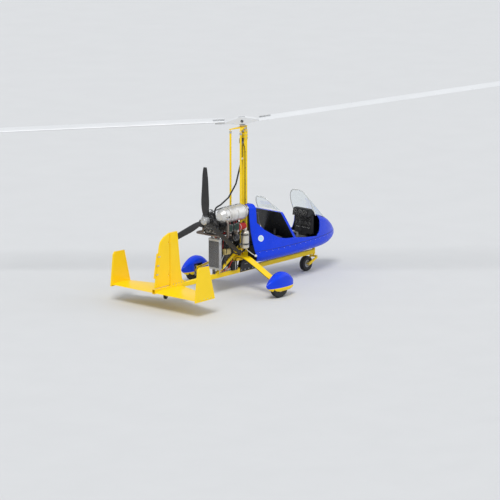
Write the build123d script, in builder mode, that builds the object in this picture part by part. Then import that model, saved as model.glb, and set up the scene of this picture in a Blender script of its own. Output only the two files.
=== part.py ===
from build123d import *
from math import copysign, cos, radians, sin
import os

os.makedirs("parts", exist_ok=True)

# Tandem two-seat gyrocopter, in millimetres.
# +X runs to the nose, +Y to the port side, +Z up. The origin is on the ground under the rotor.

# Keel and mast
keel_width = 50
keel_height = 70
keel_bottom = 240
keel_wall = 4
keel_front = 1640
keel_rear = -1950
keel_top = keel_bottom + keel_height
mast_x = 65
mast_length = 80
mast_width = 50
mast_wall = 4
mast_top = 2345
gusset_thickness = 4
gusset_height = 260

# Engine bearer and control linkage behind the mast
strut_size = 45
strut_wall = 3
strut_foot_x = -560
strut_head_z = 673
rod_x = -135
rod_spread = 100
rod_radius = 15
rod_bore = 12
rod_foot_z = 680
rod_top = 2380
stud_radius = 4
stud_reach = 16
stud_set_back = 3.5
stud_set_out = 1
mixer_height = 24

# Main undercarriage
wheel_x = -120
wheel_track = 1680
tyre_radius = 165
tyre_width = 100
rim_radius = 78
leg_x = -100
leg_chord = 130
leg_thickness = 28
leg_top_z = 505
leg_knee_y = 190
leg_foot_y = 735
leg_foot_z = 225
leg_bend = 300
axle_radius = 12
fairing_wall = 4
tyre_clearance = 8

# Nose undercarriage
nose_wheel_x = 1485
nose_tyre_radius = 115
nose_tyre_width = 85
nose_rim_radius = 56
steer_x = 1664
steer_tube_radius = 24
fork_plate = 10
fork_gap = 12
nose_axle_radius = 9
tow_pin = 14

# Tail
tail_edge_x = -1965
tail_half_span = 830
tail_root_chord = 620
tail_tip_chord = 405
tail_z = 262
tail_root_thickness = 44
tail_tip_thickness = 30
side_fin_thickness = 24
side_fin_bottom = 235
side_fin_top = 745
fin_thickness = 34
fin_top = 1097
hinge_x = -1612
rudder_thickness = 26
rudder_gap = 12
rudder_bottom = 325
hinge_levels = (480, 960)
hinge_eye_radius = 11
hinge_eye_height = 30
hinge_pin_radius = 5
tail_wheel_x = -1687
tail_wheel_radius = 40
tail_wheel_width = 28
tail_wheel_z = 162

# Body shell
shell_wall = 8
shell_split_z = 570
floor_z = 414
screen_thickness = 5

# Engine
crank_z = 1038
prop_z = 1150
prop_radius = 800
cylinder_radius = 52
fin_radius = 60
head_y = 285
cylinder_xs = (-435, -575)
silencer_y = -200
silencer_z = 1224
silencer_radius = 115

# Rotor head and rotor
pivot_z = 2375
disc_tilt = 9
coning = 3
blade_azimuth = 50
rotor_radius = 4150
blade_chord = 220
blade_thickness = 26
blade_edge = 2
blade_root = 260
hub_offset = 30
teeter_height = 165
hub_arm = 400
hub_width = 80
hub_thickness = 26
hub_depth = 78


def save(part, name):
    part.label = name
    export_step(part, f"parts/{name}.step")


def across(x):
    """Plane that cuts the aircraft across, with +Y to its right and +Z up."""
    return Plane(origin=(x, 0, 0), x_dir=(0, 1, 0), z_dir=(1, 0, 0))


def side(y):
    """Plane that cuts the aircraft lengthwise, with +X to its right and +Z up."""
    return Plane(origin=(0, y, 0), x_dir=(1, 0, 0), z_dir=(0, -1, 0))


# Keel: a rectangular tube from the nose leg to the tail
with BuildPart() as keel:
    with BuildSketch(across(keel_rear)):
        with Locations((0, keel_bottom + keel_height / 2)):
            RectangleRounded(keel_width, keel_height, 8)
            Rectangle(keel_width - 2 * keel_wall, keel_height - 2 * keel_wall, mode=Mode.SUBTRACT)
    extrude(amount=keel_front - keel_rear)

# Mast: a rectangular tube that stands on the keel
with BuildPart() as mast:
    with BuildSketch(Plane.XY.offset(keel_top)):
        with Locations((mast_x, 0)):
            RectangleRounded(mast_length, mast_width, 8)
            Rectangle(mast_length - 2 * mast_wall, mast_width - 2 * mast_wall, mode=Mode.SUBTRACT)
    extrude(amount=mast_top - keel_top)

# Gusset plates on both sides of the joint of keel and mast
with BuildPart() as gussets:
    for y in (keel_width / 2 + gusset_thickness, -keel_width / 2):
        with BuildSketch(side(y)):
            with BuildLine():
                Polyline(
                    (mast_x - 130, keel_bottom + 8),
                    (mast_x + 210, keel_bottom + 8),
                    (mast_x + 210, keel_top - 12),
                    (mast_x + 44, keel_top + 78),
                    (mast_x + 44, keel_top + gusset_height),
                    (mast_x - 44, keel_top + gusset_height),
                    (mast_x - 130, keel_top - 12),
                    close=True,
                )
            make_face()
        extrude(amount=gusset_thickness)

# Diagonal strut from the keel up to the mast, which carries the control mixer
strut_head_x = mast_x - mast_length / 2
strut_vector = Vector(strut_head_x - strut_foot_x, 0, strut_head_z - keel_top)
strut_length = strut_vector.length
strut_plane = Plane(
    origin=(strut_foot_x, 0, keel_top), x_dir=(0, 1, 0), z_dir=strut_vector.normalized()
)
with BuildPart() as strut:
    with BuildSketch(strut_plane.offset(-60)):
        Rectangle(strut_size, strut_size)
        Rectangle(strut_size - 2 * strut_wall, strut_size - 2 * strut_wall, mode=Mode.SUBTRACT)
    extrude(amount=strut_length + 120)
    split(bisect_by=Plane.XY.offset(keel_top), keep=Keep.TOP)
    split(bisect_by=Plane.YZ.offset(strut_head_x), keep=Keep.BOTTOM)
save(strut.part, "mast_strut")

# Control mixer: a cross bar on the strut with a stud up into each control rod
strut_slope = (strut_head_z - keel_top) / (strut_head_x - strut_foot_x)
strut_rise = strut_size / 2 / cos(radians(strut_vector.get_angle(Vector(1, 0, 0))))
mixer_z = keel_top + (rod_x - strut_foot_x) * strut_slope + strut_rise + 12
with BuildPart() as mixer:
    with Locations((rod_x, 0, mixer_z)):
        Box(32, 2 * rod_spread + 34, mixer_height, align=(Align.CENTER, Align.CENTER, Align.MIN))
    with BuildSketch(side(24)):
        with BuildLine():
            Polyline(
                (rod_x - 16, mixer_z + 1),
                (rod_x + 16, mixer_z + 1),
                (rod_x + 16, mixer_z - 12 + 16 * strut_slope),
                (rod_x - 16, mixer_z - 12 - 16 * strut_slope),
                close=True,
            )
        make_face()
    extrude(amount=48)
    with BuildSketch(Plane.XY.offset(mixer_z + mixer_height)):
        with Locations((rod_x, rod_spread), (rod_x, -rod_spread)):
            Circle(stud_radius)
    extrude(amount=rod_foot_z + 70 - mixer_z - mixer_height)
save(mixer.part, "control_mixer")

# Main leg: one bow of flat section from wheel to wheel
leg_plane = across(leg_x)
with BuildPart() as gear_leg:
    with BuildLine(leg_plane) as leg_line:
        FilletPolyline(
            (-leg_foot_y, leg_foot_z),
            (-leg_knee_y, leg_top_z),
            (leg_knee_y, leg_top_z),
            (leg_foot_y, leg_foot_z),
            radius=leg_bend,
        )
    with BuildSketch(Plane(origin=leg_line.line @ 0, x_dir=(1, 0, 0), z_dir=leg_line.line % 0)):
        RectangleRounded(leg_chord, leg_thickness, leg_thickness / 2 - 1)
    sweep(path=leg_line.line)
save(gear_leg.part, "gear_leg")

# Saddle under the bow and clamp on top, which fix it to the mast
saddle_height = 50
clamp_height = 12
clamp_length = 100
with BuildPart() as gear_mount:
    add(gussets)
    with Locations((leg_x, 0, leg_top_z - leg_thickness / 2)):
        Box(leg_chord + 10, 120, saddle_height, align=(Align.CENTER, Align.CENTER, Align.MAX))
    with Locations((leg_x + leg_chord / 2, 0, leg_top_z - leg_thickness / 2 - 4)):
        Box(
            strut_head_x - leg_x - leg_chord / 2,
            mast_width,
            saddle_height - 8,
            align=(Align.MIN, Align.CENTER, Align.MAX),
        )
    with Locations((leg_x, 0, leg_top_z + leg_thickness / 2)):
        Box(clamp_length, 90, clamp_height, align=(Align.CENTER, Align.CENTER, Align.MIN))
save(gear_mount.part, "gear_mount")

# Axle knuckles: a block on each end of the bow, with the stub axle of the wheel
wheel_y = wheel_track / 2
knuckle_y = 743
with BuildPart() as knuckles:
    for sign in (1, -1):
        with Locations((wheel_x, sign * (knuckle_y + 10), tyre_radius)):
            Box(70, 20, 150, align=(Align.CENTER, Align.CENTER, Align.CENTER))
        with BuildSketch(side(sign * knuckle_y)):
            with Locations((wheel_x, tyre_radius)):
                Circle(axle_radius)
        extrude(amount=-sign * (wheel_y + 30 - knuckle_y))
save(knuckles.part, "axle_knuckles")


def wheel_pieces(x, y, z, tyre_r, tyre_w, rim_r, bore_r, names):
    """Tyre and rim about an axle along Y."""
    lip = tyre_w * 0.36
    half = tyre_w / 2
    wall_r = rim_r + (tyre_r - rim_r) * 0.4
    with BuildPart() as tyre:
        with BuildSketch(Plane(origin=(x, y, z), x_dir=(0, 1, 0), z_dir=(1, 0, 0))):
            with BuildLine():
                Polyline(
                    (-lip, rim_r),
                    (lip, rim_r),
                    (half, wall_r),
                    (half * 0.9, tyre_r * 0.93),
                    (half * 0.55, tyre_r * 0.985),
                    (half * 0.2, tyre_r),
                    (-half * 0.2, tyre_r),
                    (-half * 0.55, tyre_r * 0.985),
                    (-half * 0.9, tyre_r * 0.93),
                    (-half, wall_r),
                    close=True,
                )
            make_face()
        revolve(axis=Axis((x, y, z), (0, 1, 0)))
    save(tyre.part, names[0])
    with BuildPart() as rim:
        with BuildSketch(Plane(origin=(x, y, z), x_dir=(0, 1, 0), z_dir=(1, 0, 0))):
            with BuildLine():
                Polyline(
                    (-lip, rim_r),
                    (lip, rim_r),
                    (lip, rim_r - 7),
                    (lip * 0.4, rim_r - 12),
                    (lip * 0.4, bore_r + 12),
                    (lip * 0.8, bore_r + 12),
                    (lip * 0.8, bore_r),
                    (-lip * 0.8, bore_r),
                    (-lip * 0.8, bore_r + 12),
                    (-lip * 0.4, bore_r + 12),
                    (-lip * 0.4, rim_r - 12),
                    (-lip, rim_r - 7),
                    close=True,
                )
            make_face()
        revolve(axis=Axis((x, y, z), (0, 1, 0)))
        with Locations(Plane(origin=(x, y, z), x_dir=(1, 0, 0), z_dir=(0, 1, 0))):
            with PolarLocations((rim_r + bore_r) / 2, 5):
                Cylinder((rim_r - bore_r) * 0.17, tyre_w, mode=Mode.SUBTRACT)
    save(rim.part, names[1])


running_gap = 0.4
for name, sign in (("left", 1), ("right", -1)):
    wheel_pieces(
        wheel_x,
        sign * wheel_y,
        tyre_radius,
        tyre_radius,
        tyre_width,
        rim_radius,
        axle_radius + running_gap,
        (f"{name}_tyre", f"{name}_rim"),
    )

# Wheel fairings: columns are place along X, half width, lowest and highest Z, corner radius,
# all measured from the wheel's centre
fairing_sections = (
    (-285, 9, 28, 56, 8),
    (-200, 48, -36, 124, 40),
    (-120, 72, -66, 168, 56),
    (10, 86, -80, 212, 70),
    (160, 78, -78, 178, 64),
    (280, 36, -40, 84, 30),
)
fairing_edge_z = tyre_radius - 72


def fairing_outlines(centre_y, shrink):
    """Sections of a wheel fairing, drawn in by shrink on every side."""
    outlines = []
    for x, half, low, high, corner in fairing_sections:
        with BuildSketch(across(wheel_x + x - copysign(shrink, x)), mode=Mode.PRIVATE) as outline:
            with Locations((centre_y, tyre_radius + (low + high) / 2)):
                RectangleRounded(2 * (half - shrink), high - low - 2 * shrink, corner - shrink)
        outlines.append(outline.sketch)
    return outlines


with BuildPart() as fairings:
    for sign in (1, -1):
        loft(fairing_outlines(sign * wheel_y, 0))
        loft(fairing_outlines(sign * wheel_y, fairing_wall), mode=Mode.SUBTRACT)
        # The lower edge is cut off level, with an opening for the tyre
        with Locations((wheel_x, sign * wheel_y, fairing_edge_z)):
            Box(600, 300, 100, align=(Align.CENTER, Align.CENTER, Align.MAX), mode=Mode.SUBTRACT)
        with Locations((wheel_x, sign * wheel_y, tyre_radius)):
            Box(
                2 * (tyre_radius + tyre_clearance),
                tyre_width + 2 * tyre_clearance,
                tyre_radius,
                align=(Align.CENTER, Align.CENTER, Align.MAX),
                mode=Mode.SUBTRACT,
            )
        # The inner wall is open where the bow and its knuckle enter
        with Locations((wheel_x, sign * (wheel_y - 95), tyre_radius + 10)):
            Box(176, 90, 210, mode=Mode.SUBTRACT)
save(fairings.part, "wheel_fairings")

# Nose leg: steering tube at the front end of the keel, and the trailing fork that turns in it
steer_low = keel_bottom - 6
steer_high = keel_top + 18
with BuildPart() as steering_head:
    with BuildSketch(Plane.XY.offset(steer_low)):
        with Locations((steer_x, 0)):
            Circle(steer_tube_radius)
    extrude(amount=steer_high - steer_low)
    with Locations((keel_front, 0, keel_bottom + 8)):
        Box(
            steer_x - keel_front,
            keel_width - 2,
            keel_height - 16,
            align=(Align.MIN, Align.CENTER, Align.MIN),
        )
    with BuildSketch(Plane.XY.offset(steer_low)):
        with Locations((steer_x, 0)):
            Circle(13)
    extrude(amount=steer_high - steer_low, mode=Mode.SUBTRACT)
    add(keel)
save(steering_head.part, "keel")

fork_y = nose_tyre_width / 2 + fork_gap
fork_crown_z = 190
with BuildPart() as fork:
    for y in (fork_y + fork_plate, -fork_y):
        with BuildSketch(side(y)):
            with BuildLine():
                Polyline(
                    (steer_x - 18, fork_crown_z + 26),
                    (steer_x + 18, fork_crown_z + 26),
                    (steer_x + 18, fork_crown_z - 14),
                    (nose_wheel_x + 16, nose_tyre_radius - 22),
                    (nose_wheel_x - 20, nose_tyre_radius - 20),
                    (nose_wheel_x - 22, nose_tyre_radius + 14),
                    (steer_x - 18, fork_crown_z + 6),
                    close=True,
                )
            make_face()
        extrude(amount=fork_plate)
    # Crown across the two legs, ahead of the tyre
    with Locations((steer_x, 0, fork_crown_z)):
        Box(36, 2 * fork_y, 26, align=(Align.CENTER, Align.CENTER, Align.MIN))
    with BuildSketch(Plane.XY.offset(fork_crown_z + 20)):
        with Locations((steer_x, 0)):
            Circle(12.6)
    extrude(amount=steer_high + 10 - fork_crown_z - 20)
    with BuildSketch(Plane.XY.offset(steer_high + 0.6)):
        with Locations((steer_x, 0)):
            Circle(20)
    extrude(amount=12)
    # Axle, which stands out of the fork on both sides for a tow bar
    with BuildSketch(side(fork_y + fork_plate + tow_pin)):
        with Locations((nose_wheel_x, nose_tyre_radius)):
            Circle(nose_axle_radius)
    extrude(amount=2 * (fork_y + fork_plate + tow_pin))
save(fork.part, "nose_fork")

wheel_pieces(
    nose_wheel_x,
    0,
    nose_tyre_radius,
    nose_tyre_radius,
    nose_tyre_width,
    nose_rim_radius,
    nose_axle_radius + running_gap,
    ("nose_tyre", "nose_rim"),
)

# Tail: two stabiliser halves on the sides of the keel, each lofted from a lens section
with BuildPart() as stabilisers:
    for sign in (1, -1):
        sections = []
        for y, chord, thickness in (
            (keel_width / 2, tail_root_chord, tail_root_thickness),
            (tail_half_span - side_fin_thickness / 2, tail_tip_chord, tail_tip_thickness),
        ):
            nose = (tail_edge_x + chord, tail_z)
            with BuildSketch(side(sign * y), mode=Mode.PRIVATE) as section:
                with BuildLine():
                    for rise in (thickness / 2, -thickness / 2):
                        ThreePointArc(
                            (tail_edge_x, tail_z), (tail_edge_x + chord * 0.6, tail_z + rise), nose
                        )
                make_face()
            sections.append(section.sketch)
        loft(sections, ruled=True)
save(stabilisers.part, "stabilisers")
with BuildPart() as side_fins:
    for sign in (1, -1):
        with BuildSketch(side(sign * tail_half_span + side_fin_thickness / 2)):
            with BuildLine():
                Polyline(
                    (tail_edge_x - 5, side_fin_bottom),
                    (tail_edge_x + 415, side_fin_bottom + 4),
                    (tail_edge_x + 285, side_fin_top - 8),
                    (tail_edge_x + 85, side_fin_top),
                    (tail_edge_x + 50, side_fin_top - 38),
                    close=True,
                )
            make_face()
        extrude(amount=side_fin_thickness)
save(side_fins.part, "side_fins")

# Centre fin with its swept foot on the keel
with BuildPart() as centre_fin:
    with BuildSketch(side(fin_thickness / 2)):
        with BuildLine():
            Polyline(
                (hinge_x + rudder_gap, keel_top),
                (hinge_x + rudder_gap, fin_top),
                (hinge_x + 167, fin_top),
                (hinge_x + 228, 581),
                (hinge_x + 262, 400),
            )
            ThreePointArc(
                (hinge_x + 262, 400), (hinge_x + 285, 345), (hinge_x + 350, keel_top)
            )
            Line((hinge_x + 350, keel_top), (hinge_x + rudder_gap, keel_top))
        make_face()
    extrude(amount=fin_thickness)
    # Hinge eyes that reach back to the rudder's pins
    for z in hinge_levels:
        with BuildSketch(Plane.XY.offset(z - hinge_eye_height / 2)):
            with Locations((hinge_x, 0)):
                Circle(hinge_eye_radius)
                Rectangle(rudder_gap, 2 * hinge_eye_radius, align=(Align.MIN, Align.CENTER))
                Circle(hinge_pin_radius + running_gap, mode=Mode.SUBTRACT)
        extrude(amount=hinge_eye_height)
save(centre_fin.part, "centre_fin")

# Rudder behind it, with a trim tab on the trailing edge
with BuildPart() as rudder:
    with BuildSketch(side(rudder_thickness / 2)):
        with BuildLine():
            Polyline(
                (hinge_x, rudder_bottom),
                (hinge_x, fin_top),
                (hinge_x - 110, fin_top - 44),
                (hinge_x - 188, 992),
                (hinge_x - 209, 927),
                (hinge_x - 311, rudder_bottom),
                close=True,
            )
        make_face()
    extrude(amount=rudder_thickness)
    # Notch round each hinge eye, with the pin through it
    for z in hinge_levels:
        with Locations((hinge_x + rudder_gap, 0, z)):
            Box(
                40,
                60,
                hinge_eye_height + 14,
                align=(Align.MAX, Align.CENTER, Align.CENTER),
                mode=Mode.SUBTRACT,
            )
        with Locations((hinge_x, 0, z)):
            Cylinder(hinge_pin_radius, hinge_eye_height + 34)
save(rudder.part, "rudder")
with BuildPart() as trim_tab:
    with BuildSketch(side(4)):
        with BuildLine():
            Polyline(
                (hinge_x - 287 - 1, 468),
                (hinge_x - 225 - 1, 836),
                (hinge_x - 268, 830),
                (hinge_x - 334, 470),
                close=True,
            )
        make_face()
    extrude(amount=8)
save(trim_tab.part, "trim_tab")

# Tail wheel and its bracket under the keel
with BuildPart() as tail_bracket:
    with Locations((tail_wheel_x, 0, keel_bottom)):
        Box(90, 44, 8, align=(Align.CENTER, Align.CENTER, Align.MAX))
    for y in (tail_wheel_width / 2 + 12, -tail_wheel_width / 2 - 6):
        with BuildSketch(side(y)):
            with BuildLine():
                Polyline(
                    (tail_wheel_x - 16, tail_wheel_z - 16),
                    (tail_wheel_x + 16, tail_wheel_z - 16),
                    (tail_wheel_x + 40, keel_bottom - 4),
                    (tail_wheel_x - 40, keel_bottom - 4),
                    close=True,
                )
            make_face()
        extrude(amount=6)
    with BuildSketch(side(tail_wheel_width / 2 + 12)):
        with Locations((tail_wheel_x, tail_wheel_z)):
            Circle(5)
    extrude(amount=tail_wheel_width + 24)
save(tail_bracket.part, "tail_bracket")
with BuildPart() as tail_wheel:
    with BuildSketch(side(tail_wheel_width / 2)):
        with Locations((tail_wheel_x, tail_wheel_z)):
            Circle(tail_wheel_radius)
            Circle(5 + running_gap, mode=Mode.SUBTRACT)
    extrude(amount=tail_wheel_width)
    chamfer(tail_wheel.edges().filter_by(GeomType.CIRCLE).sort_by(SortBy.RADIUS)[-2:], 5)
save(tail_wheel.part, "tail_wheel")

# Body shell: columns are place along X, half width at the bottom, half width at the top,
# lowest Z, highest Z, lower and upper corner radius
shell_sections = (
    (-30, 200, 110, 470, 1255, 60, 80),
    (120, 275, 150, 402, 1268, 80, 90),
    (500, 318, 260, 398, 1190, 90, 110),
    (1000, 325, 285, 398, 1020, 95, 120),
    (1500, 285, 245, 400, 900, 90, 110),
    (1800, 215, 175, 416, 790, 80, 90),
    (1990, 130, 100, 462, 655, 62, 62),
    (2088, 46, 38, 494, 566, 30, 30),
)


def shell_outlines(sections, shrink):
    """Sections of a body of rounded trapezoids, drawn in by shrink on every side."""
    outlines = []
    for x, low_half, high_half, low, high, low_corner, high_corner in sections:
        with BuildSketch(across(x), mode=Mode.PRIVATE) as outline:
            with BuildLine():
                Polyline(
                    (-low_half + shrink, low + shrink),
                    (low_half - shrink, low + shrink),
                    (high_half - shrink, high - shrink),
                    (-high_half + shrink, high - shrink),
                    close=True,
                )
            make_face()
            rows = outline.vertices().group_by(Axis.Y)
            fillet(rows[0], low_corner - shrink)
            fillet(outline.vertices().group_by(Axis.Y)[-1], high_corner - shrink)
        outlines.append(outline.sketch)
    return outlines


# The line of the cockpit edge, from the rear hoop to the nose deck
coaming = (
    (150, 1500),
    (134, 1180),
    (124, 990),
    (250, 865),
    (500, 718),
    (691, 674),
    (860, 668),
    (1107, 618),
    (1390, 594),
    (1478, 650),
    (1503, 740),
    (1512, 1500),
)

with BuildPart() as shell_solid:
    loft(shell_outlines(shell_sections, 0))
with BuildPart() as shell_core:
    loft(shell_outlines(shell_sections, shell_wall))
with BuildPart() as skin:
    add(shell_solid)
    add(shell_core, mode=Mode.SUBTRACT)
    # Rear edge, which leans round the mast
    with BuildSketch(side(500)):
        with BuildLine():
            ThreePointArc((96, 380), (14, 900), (62, 1400))
            Polyline((62, 1400), (-200, 1400), (-200, 380), (96, 380))
        make_face()
    extrude(amount=1000, mode=Mode.SUBTRACT)
    with BuildSketch(side(500)):
        with BuildLine():
            Polyline(*coaming, close=True)
        make_face()
    extrude(amount=1000, mode=Mode.SUBTRACT)
    # Slot for the mast and its gussets
    with Locations((mast_x + mast_length / 2 + 13, 0, 380)):
        Box(230, mast_width + 30, 1120, align=(Align.MAX, Align.CENTER, Align.MIN),
            mode=Mode.SUBTRACT)
with BuildPart() as lower_shell:
    add(skin)
    split(bisect_by=Plane.XY.offset(shell_split_z), keep=Keep.BOTTOM)
save(lower_shell.part, "lower_shell")
with BuildPart() as upper_shell:
    add(skin)
    split(bisect_by=Plane.XY.offset(shell_split_z), keep=Keep.TOP)
save(upper_shell.part, "upper_shell")

# The lean of the bulkhead behind the front seat
lean_foot = (833, 720)
lean_slope = 0.632
lean_angle = 32.3


def lean_x(z, forward):
    """Place along X at height z of the plane this far ahead of the bulkhead's middle."""
    return lean_foot[0] + (lean_foot[1] - z) * lean_slope + forward / cos(radians(lean_angle))


# Bulkhead between the cockpits, which is trimmed to the inside of the shell
with BuildPart() as bulkhead:
    with BuildSketch(side(400)):
        with BuildLine():
            Polyline(
                (lean_x(floor_z, -20), floor_z),
                (lean_x(floor_z, 20), floor_z),
                (lean_x(1085, 20), 1085),
                (lean_x(1085, -20), 1085),
                close=True,
            )
        make_face()
    extrude(amount=800)
    add(shell_core, mode=Mode.INTERSECT)
save(bulkhead.part, "seat_bulkhead")

# Seats: base and back in one pad each
seat_half = 205
with BuildPart() as front_seat:
    with BuildSketch(side(seat_half)):
        with BuildLine():
            Polyline(
                (lean_x(500, 22), 500),
                (1300, 520),
                (1300, 605),
                (lean_x(590, 92), 590),
                (lean_x(1040, 84), 1040),
                (lean_x(1055, 22), 1055),
                close=True,
            )
        make_face()
    extrude(amount=2 * seat_half)
    fillet(front_seat.edges().filter_by(Axis.Y), 20)
save(front_seat.part, "front_seat")
with BuildPart() as rear_seat:
    with BuildSketch(side(seat_half)):
        with BuildLine():
            Polyline(
                (286, 580),
                (735, 590),
                (735, 690),
                (362, 676),
                (234, 1150),
                (143, 1158),
                close=True,
            )
        make_face()
    extrude(amount=2 * seat_half)
    fillet(rear_seat.edges().filter_by(Axis.Y), 20)
with BuildPart() as rear_taper:
    # The back narrows upwards, inside the shell's hoop
    with BuildSketch(across(0)):
        with BuildLine():
            Polyline((-206, 560), (206, 560), (206, 900), (125, 1260), (-125, 1260), (-206, 900),
                     close=True)
        make_face()
    extrude(amount=800)
with BuildPart() as rear_seat_fitted:
    add(rear_seat)
    add(rear_taper, mode=Mode.INTERSECT)
save(rear_seat_fitted.part, "rear_seat")

# Plinths under both seats: the rear one is the fuel tank. Columns: place, length, width, top
with BuildPart() as fuel_tank:
    for x, length, width, top in ((510, 430, 400, 578), (1205, 190, 340, 496)):
        with Locations((x, 0, floor_z)):
            Box(length, width, top - floor_z, align=(Align.CENTER, Align.CENTER, Align.MIN))
    fillet(fuel_tank.edges().filter_by(Axis.Z), 40)
save(fuel_tank.part, "seat_bases")

# Windscreens: thin bubbles over the shell, trimmed along a leaning line.
# The columns are those of the body shell.
front_bubble = (
    (1230, 238, 196, 640, 1322, 30, 150),
    (1500, 246, 180, 640, 1078, 30, 150),
    (1720, 226, 150, 640, 862, 30, 110),
    (1830, 200, 140, 640, 760, 30, 90),
)
rear_bubble = (
    (390, 190, 130, 980, 1350, 30, 100),
    (660, 232, 190, 980, 1110, 30, 60),
)
with BuildPart() as front_screen:
    loft(shell_outlines(front_bubble, 0))
    loft(shell_outlines(front_bubble, screen_thickness), mode=Mode.SUBTRACT)
    add(shell_solid, mode=Mode.SUBTRACT)
    with BuildSketch(side(500)):
        with BuildLine():
            Polyline((1512, 600), (1512, 765), (1262, 1294), (1262, 1500), (1000, 1500),
                     (1000, 600), close=True)
        make_face()
    extrude(amount=1000, mode=Mode.SUBTRACT)
with BuildPart() as front_sheet:
    add(front_screen.solids().sort_by(SortBy.VOLUME)[-1])
save(front_sheet.part, "front_screen")
with BuildPart() as rear_screen:
    loft(shell_outlines(rear_bubble, 0))
    loft(shell_outlines(rear_bubble, screen_thickness), mode=Mode.SUBTRACT)
    with BuildSketch(side(500)):
        with BuildLine():
            Polyline((600, 1087), (410, 1332), (410, 1500), (300, 1500), (300, 900), (800, 900),
                     (800, 1087), close=True)
        make_face()
    extrude(amount=1000, mode=Mode.SUBTRACT)
save(rear_screen.part, "rear_screen")

# Instrument panel under its hood, on a pedestal
with BuildPart() as panel:
    with Locations((1430, 0, floor_z)):
        Box(70, 130, 600 - floor_z, align=(Align.CENTER, Align.CENTER, Align.MIN))
    with Locations((1440, 0, 600)):
        Box(46, 340, 275, align=(Align.CENTER, Align.CENTER, Align.MIN))
    with BuildSketch(side(150)):
        with BuildLine():
            Polyline((1340, 874), (1500, 874), (1500, 925), (1440, 985), (1370, 985), close=True)
        make_face()
    extrude(amount=300)
save(panel.part, "instrument_panel")

# Control sticks and pedals
with BuildPart() as sticks:
    for x, top in ((1345, 740), (757, 690)):
        with BuildSketch(Plane.XY.offset(floor_z)):
            with Locations((x, 0)):
                Circle(11)
        extrude(amount=top - floor_z)
        with BuildSketch(Plane.XY.offset(top)):
            with Locations((x, 0)):
                Circle(17)
        extrude(amount=100 if x > 1000 else 70)
    with Locations((1690, 0, 440)):
        Box(20, 300, 20)
    for y in (-110, 110):
        with Locations((1690, y, 520)):
            Box(14, 90, 150)
save(sticks.part, "cockpit_controls")

# Engine: crankcase with the round housing at its front end
with BuildPart() as crankcase:
    with BuildSketch(across(-700)):
        with Locations((0, crank_z)):
            RectangleRounded(190, 190, 34)
    extrude(amount=370)
    with BuildSketch(across(-330)):
        with Locations((0, crank_z)):
            Circle(105)
    extrude(amount=80)
    with BuildSketch(across(-250)):
        with Locations((0, crank_z)):
            Circle(78)
    extrude(amount=18)
save(crankcase.part, "crankcase")

with BuildPart() as gearbox:
    with BuildSketch(across(-700)):
        with Locations((0, (crank_z + prop_z) / 2)):
            SlotCenterToCenter(prop_z - crank_z, 150, rotation=90)
    extrude(amount=-60)
    with BuildSketch(across(-760)):
        with Locations((0, prop_z)):
            Circle(52)
    extrude(amount=-18)
save(gearbox.part, "gearbox")

# Cylinders: finned barrels with their heads, two on each side
fin_count = 6
with BuildPart() as cylinders:
    for x in cylinder_xs:
        for sign in (1, -1):
            barrel_plane = Plane(origin=(x, sign * 95, crank_z), x_dir=(1, 0, 0), z_dir=(0, sign, 0))
            with BuildSketch(barrel_plane):
                Circle(cylinder_radius)
            extrude(amount=110)
            for n in range(fin_count):
                with BuildSketch(barrel_plane.offset(8 + n * 17)):
                    Circle(fin_radius)
                extrude(amount=6)
            with BuildSketch(barrel_plane.offset(108)):
                RectangleRounded(112, 112, 22)
            extrude(amount=head_y - 95 - 108)
save(cylinders.part, "cylinders")

# Carburettors and cone filters ahead of the front heads
carb_y = 245
carb_length = 16
filter_length = 150
head_front_x = max(cylinder_xs) + 56
with BuildPart() as carburettors:
    for sign in (1, -1):
        with BuildSketch(across(head_front_x)):
            with Locations((sign * carb_y, crank_z - 22)):
                Circle(28)
        extrude(amount=carb_length)
        with Locations((head_front_x + carb_length / 2, sign * carb_y, crank_z - 22)):
            Box(12, 50, 90)
save(carburettors.part, "carburettors")
with BuildPart() as filters:
    for sign in (1, -1):
        filter_plane = across(head_front_x + carb_length)
        for offset, radius in ((0, 58), (filter_length, 44)):
            with BuildSketch(filter_plane.offset(offset)):
                with Locations((sign * carb_y, crank_z - 22)):
                    Circle(radius)
        loft()
save(filters.part, "air_filters")

# Silencer drum above the starboard cylinders, with its bands, two feet and an outlet.
# Rows of the profile: place along X, outer radius
silencer_wall = 3
silencer_profile = (
    (-735, 60),
    (-665, 104),
    (-590, silencer_radius),
    (-250, silencer_radius),
    (-190, 96),
    (-160, 46),
)
silencer_rear = silencer_profile[0][0]
silencer_front = silencer_profile[-1][0]
outlet_x = -664
outlet_y = silencer_y - silencer_radius - 25
outlet_radius = 20
with BuildPart() as silencer_core:
    with BuildSketch(side(silencer_y)):
        with BuildLine():
            Polyline(
                (silencer_rear + silencer_wall, silencer_z),
                (silencer_rear + silencer_wall, silencer_z + silencer_profile[0][1] - silencer_wall),
                *[(x, silencer_z + r - silencer_wall) for x, r in silencer_profile[1:-1]],
                (silencer_front - silencer_wall, silencer_z + silencer_profile[-1][1] - silencer_wall),
                (silencer_front - silencer_wall, silencer_z),
                close=True,
            )
        make_face()
    revolve(axis=Axis((0, silencer_y, silencer_z), (1, 0, 0)))
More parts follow.
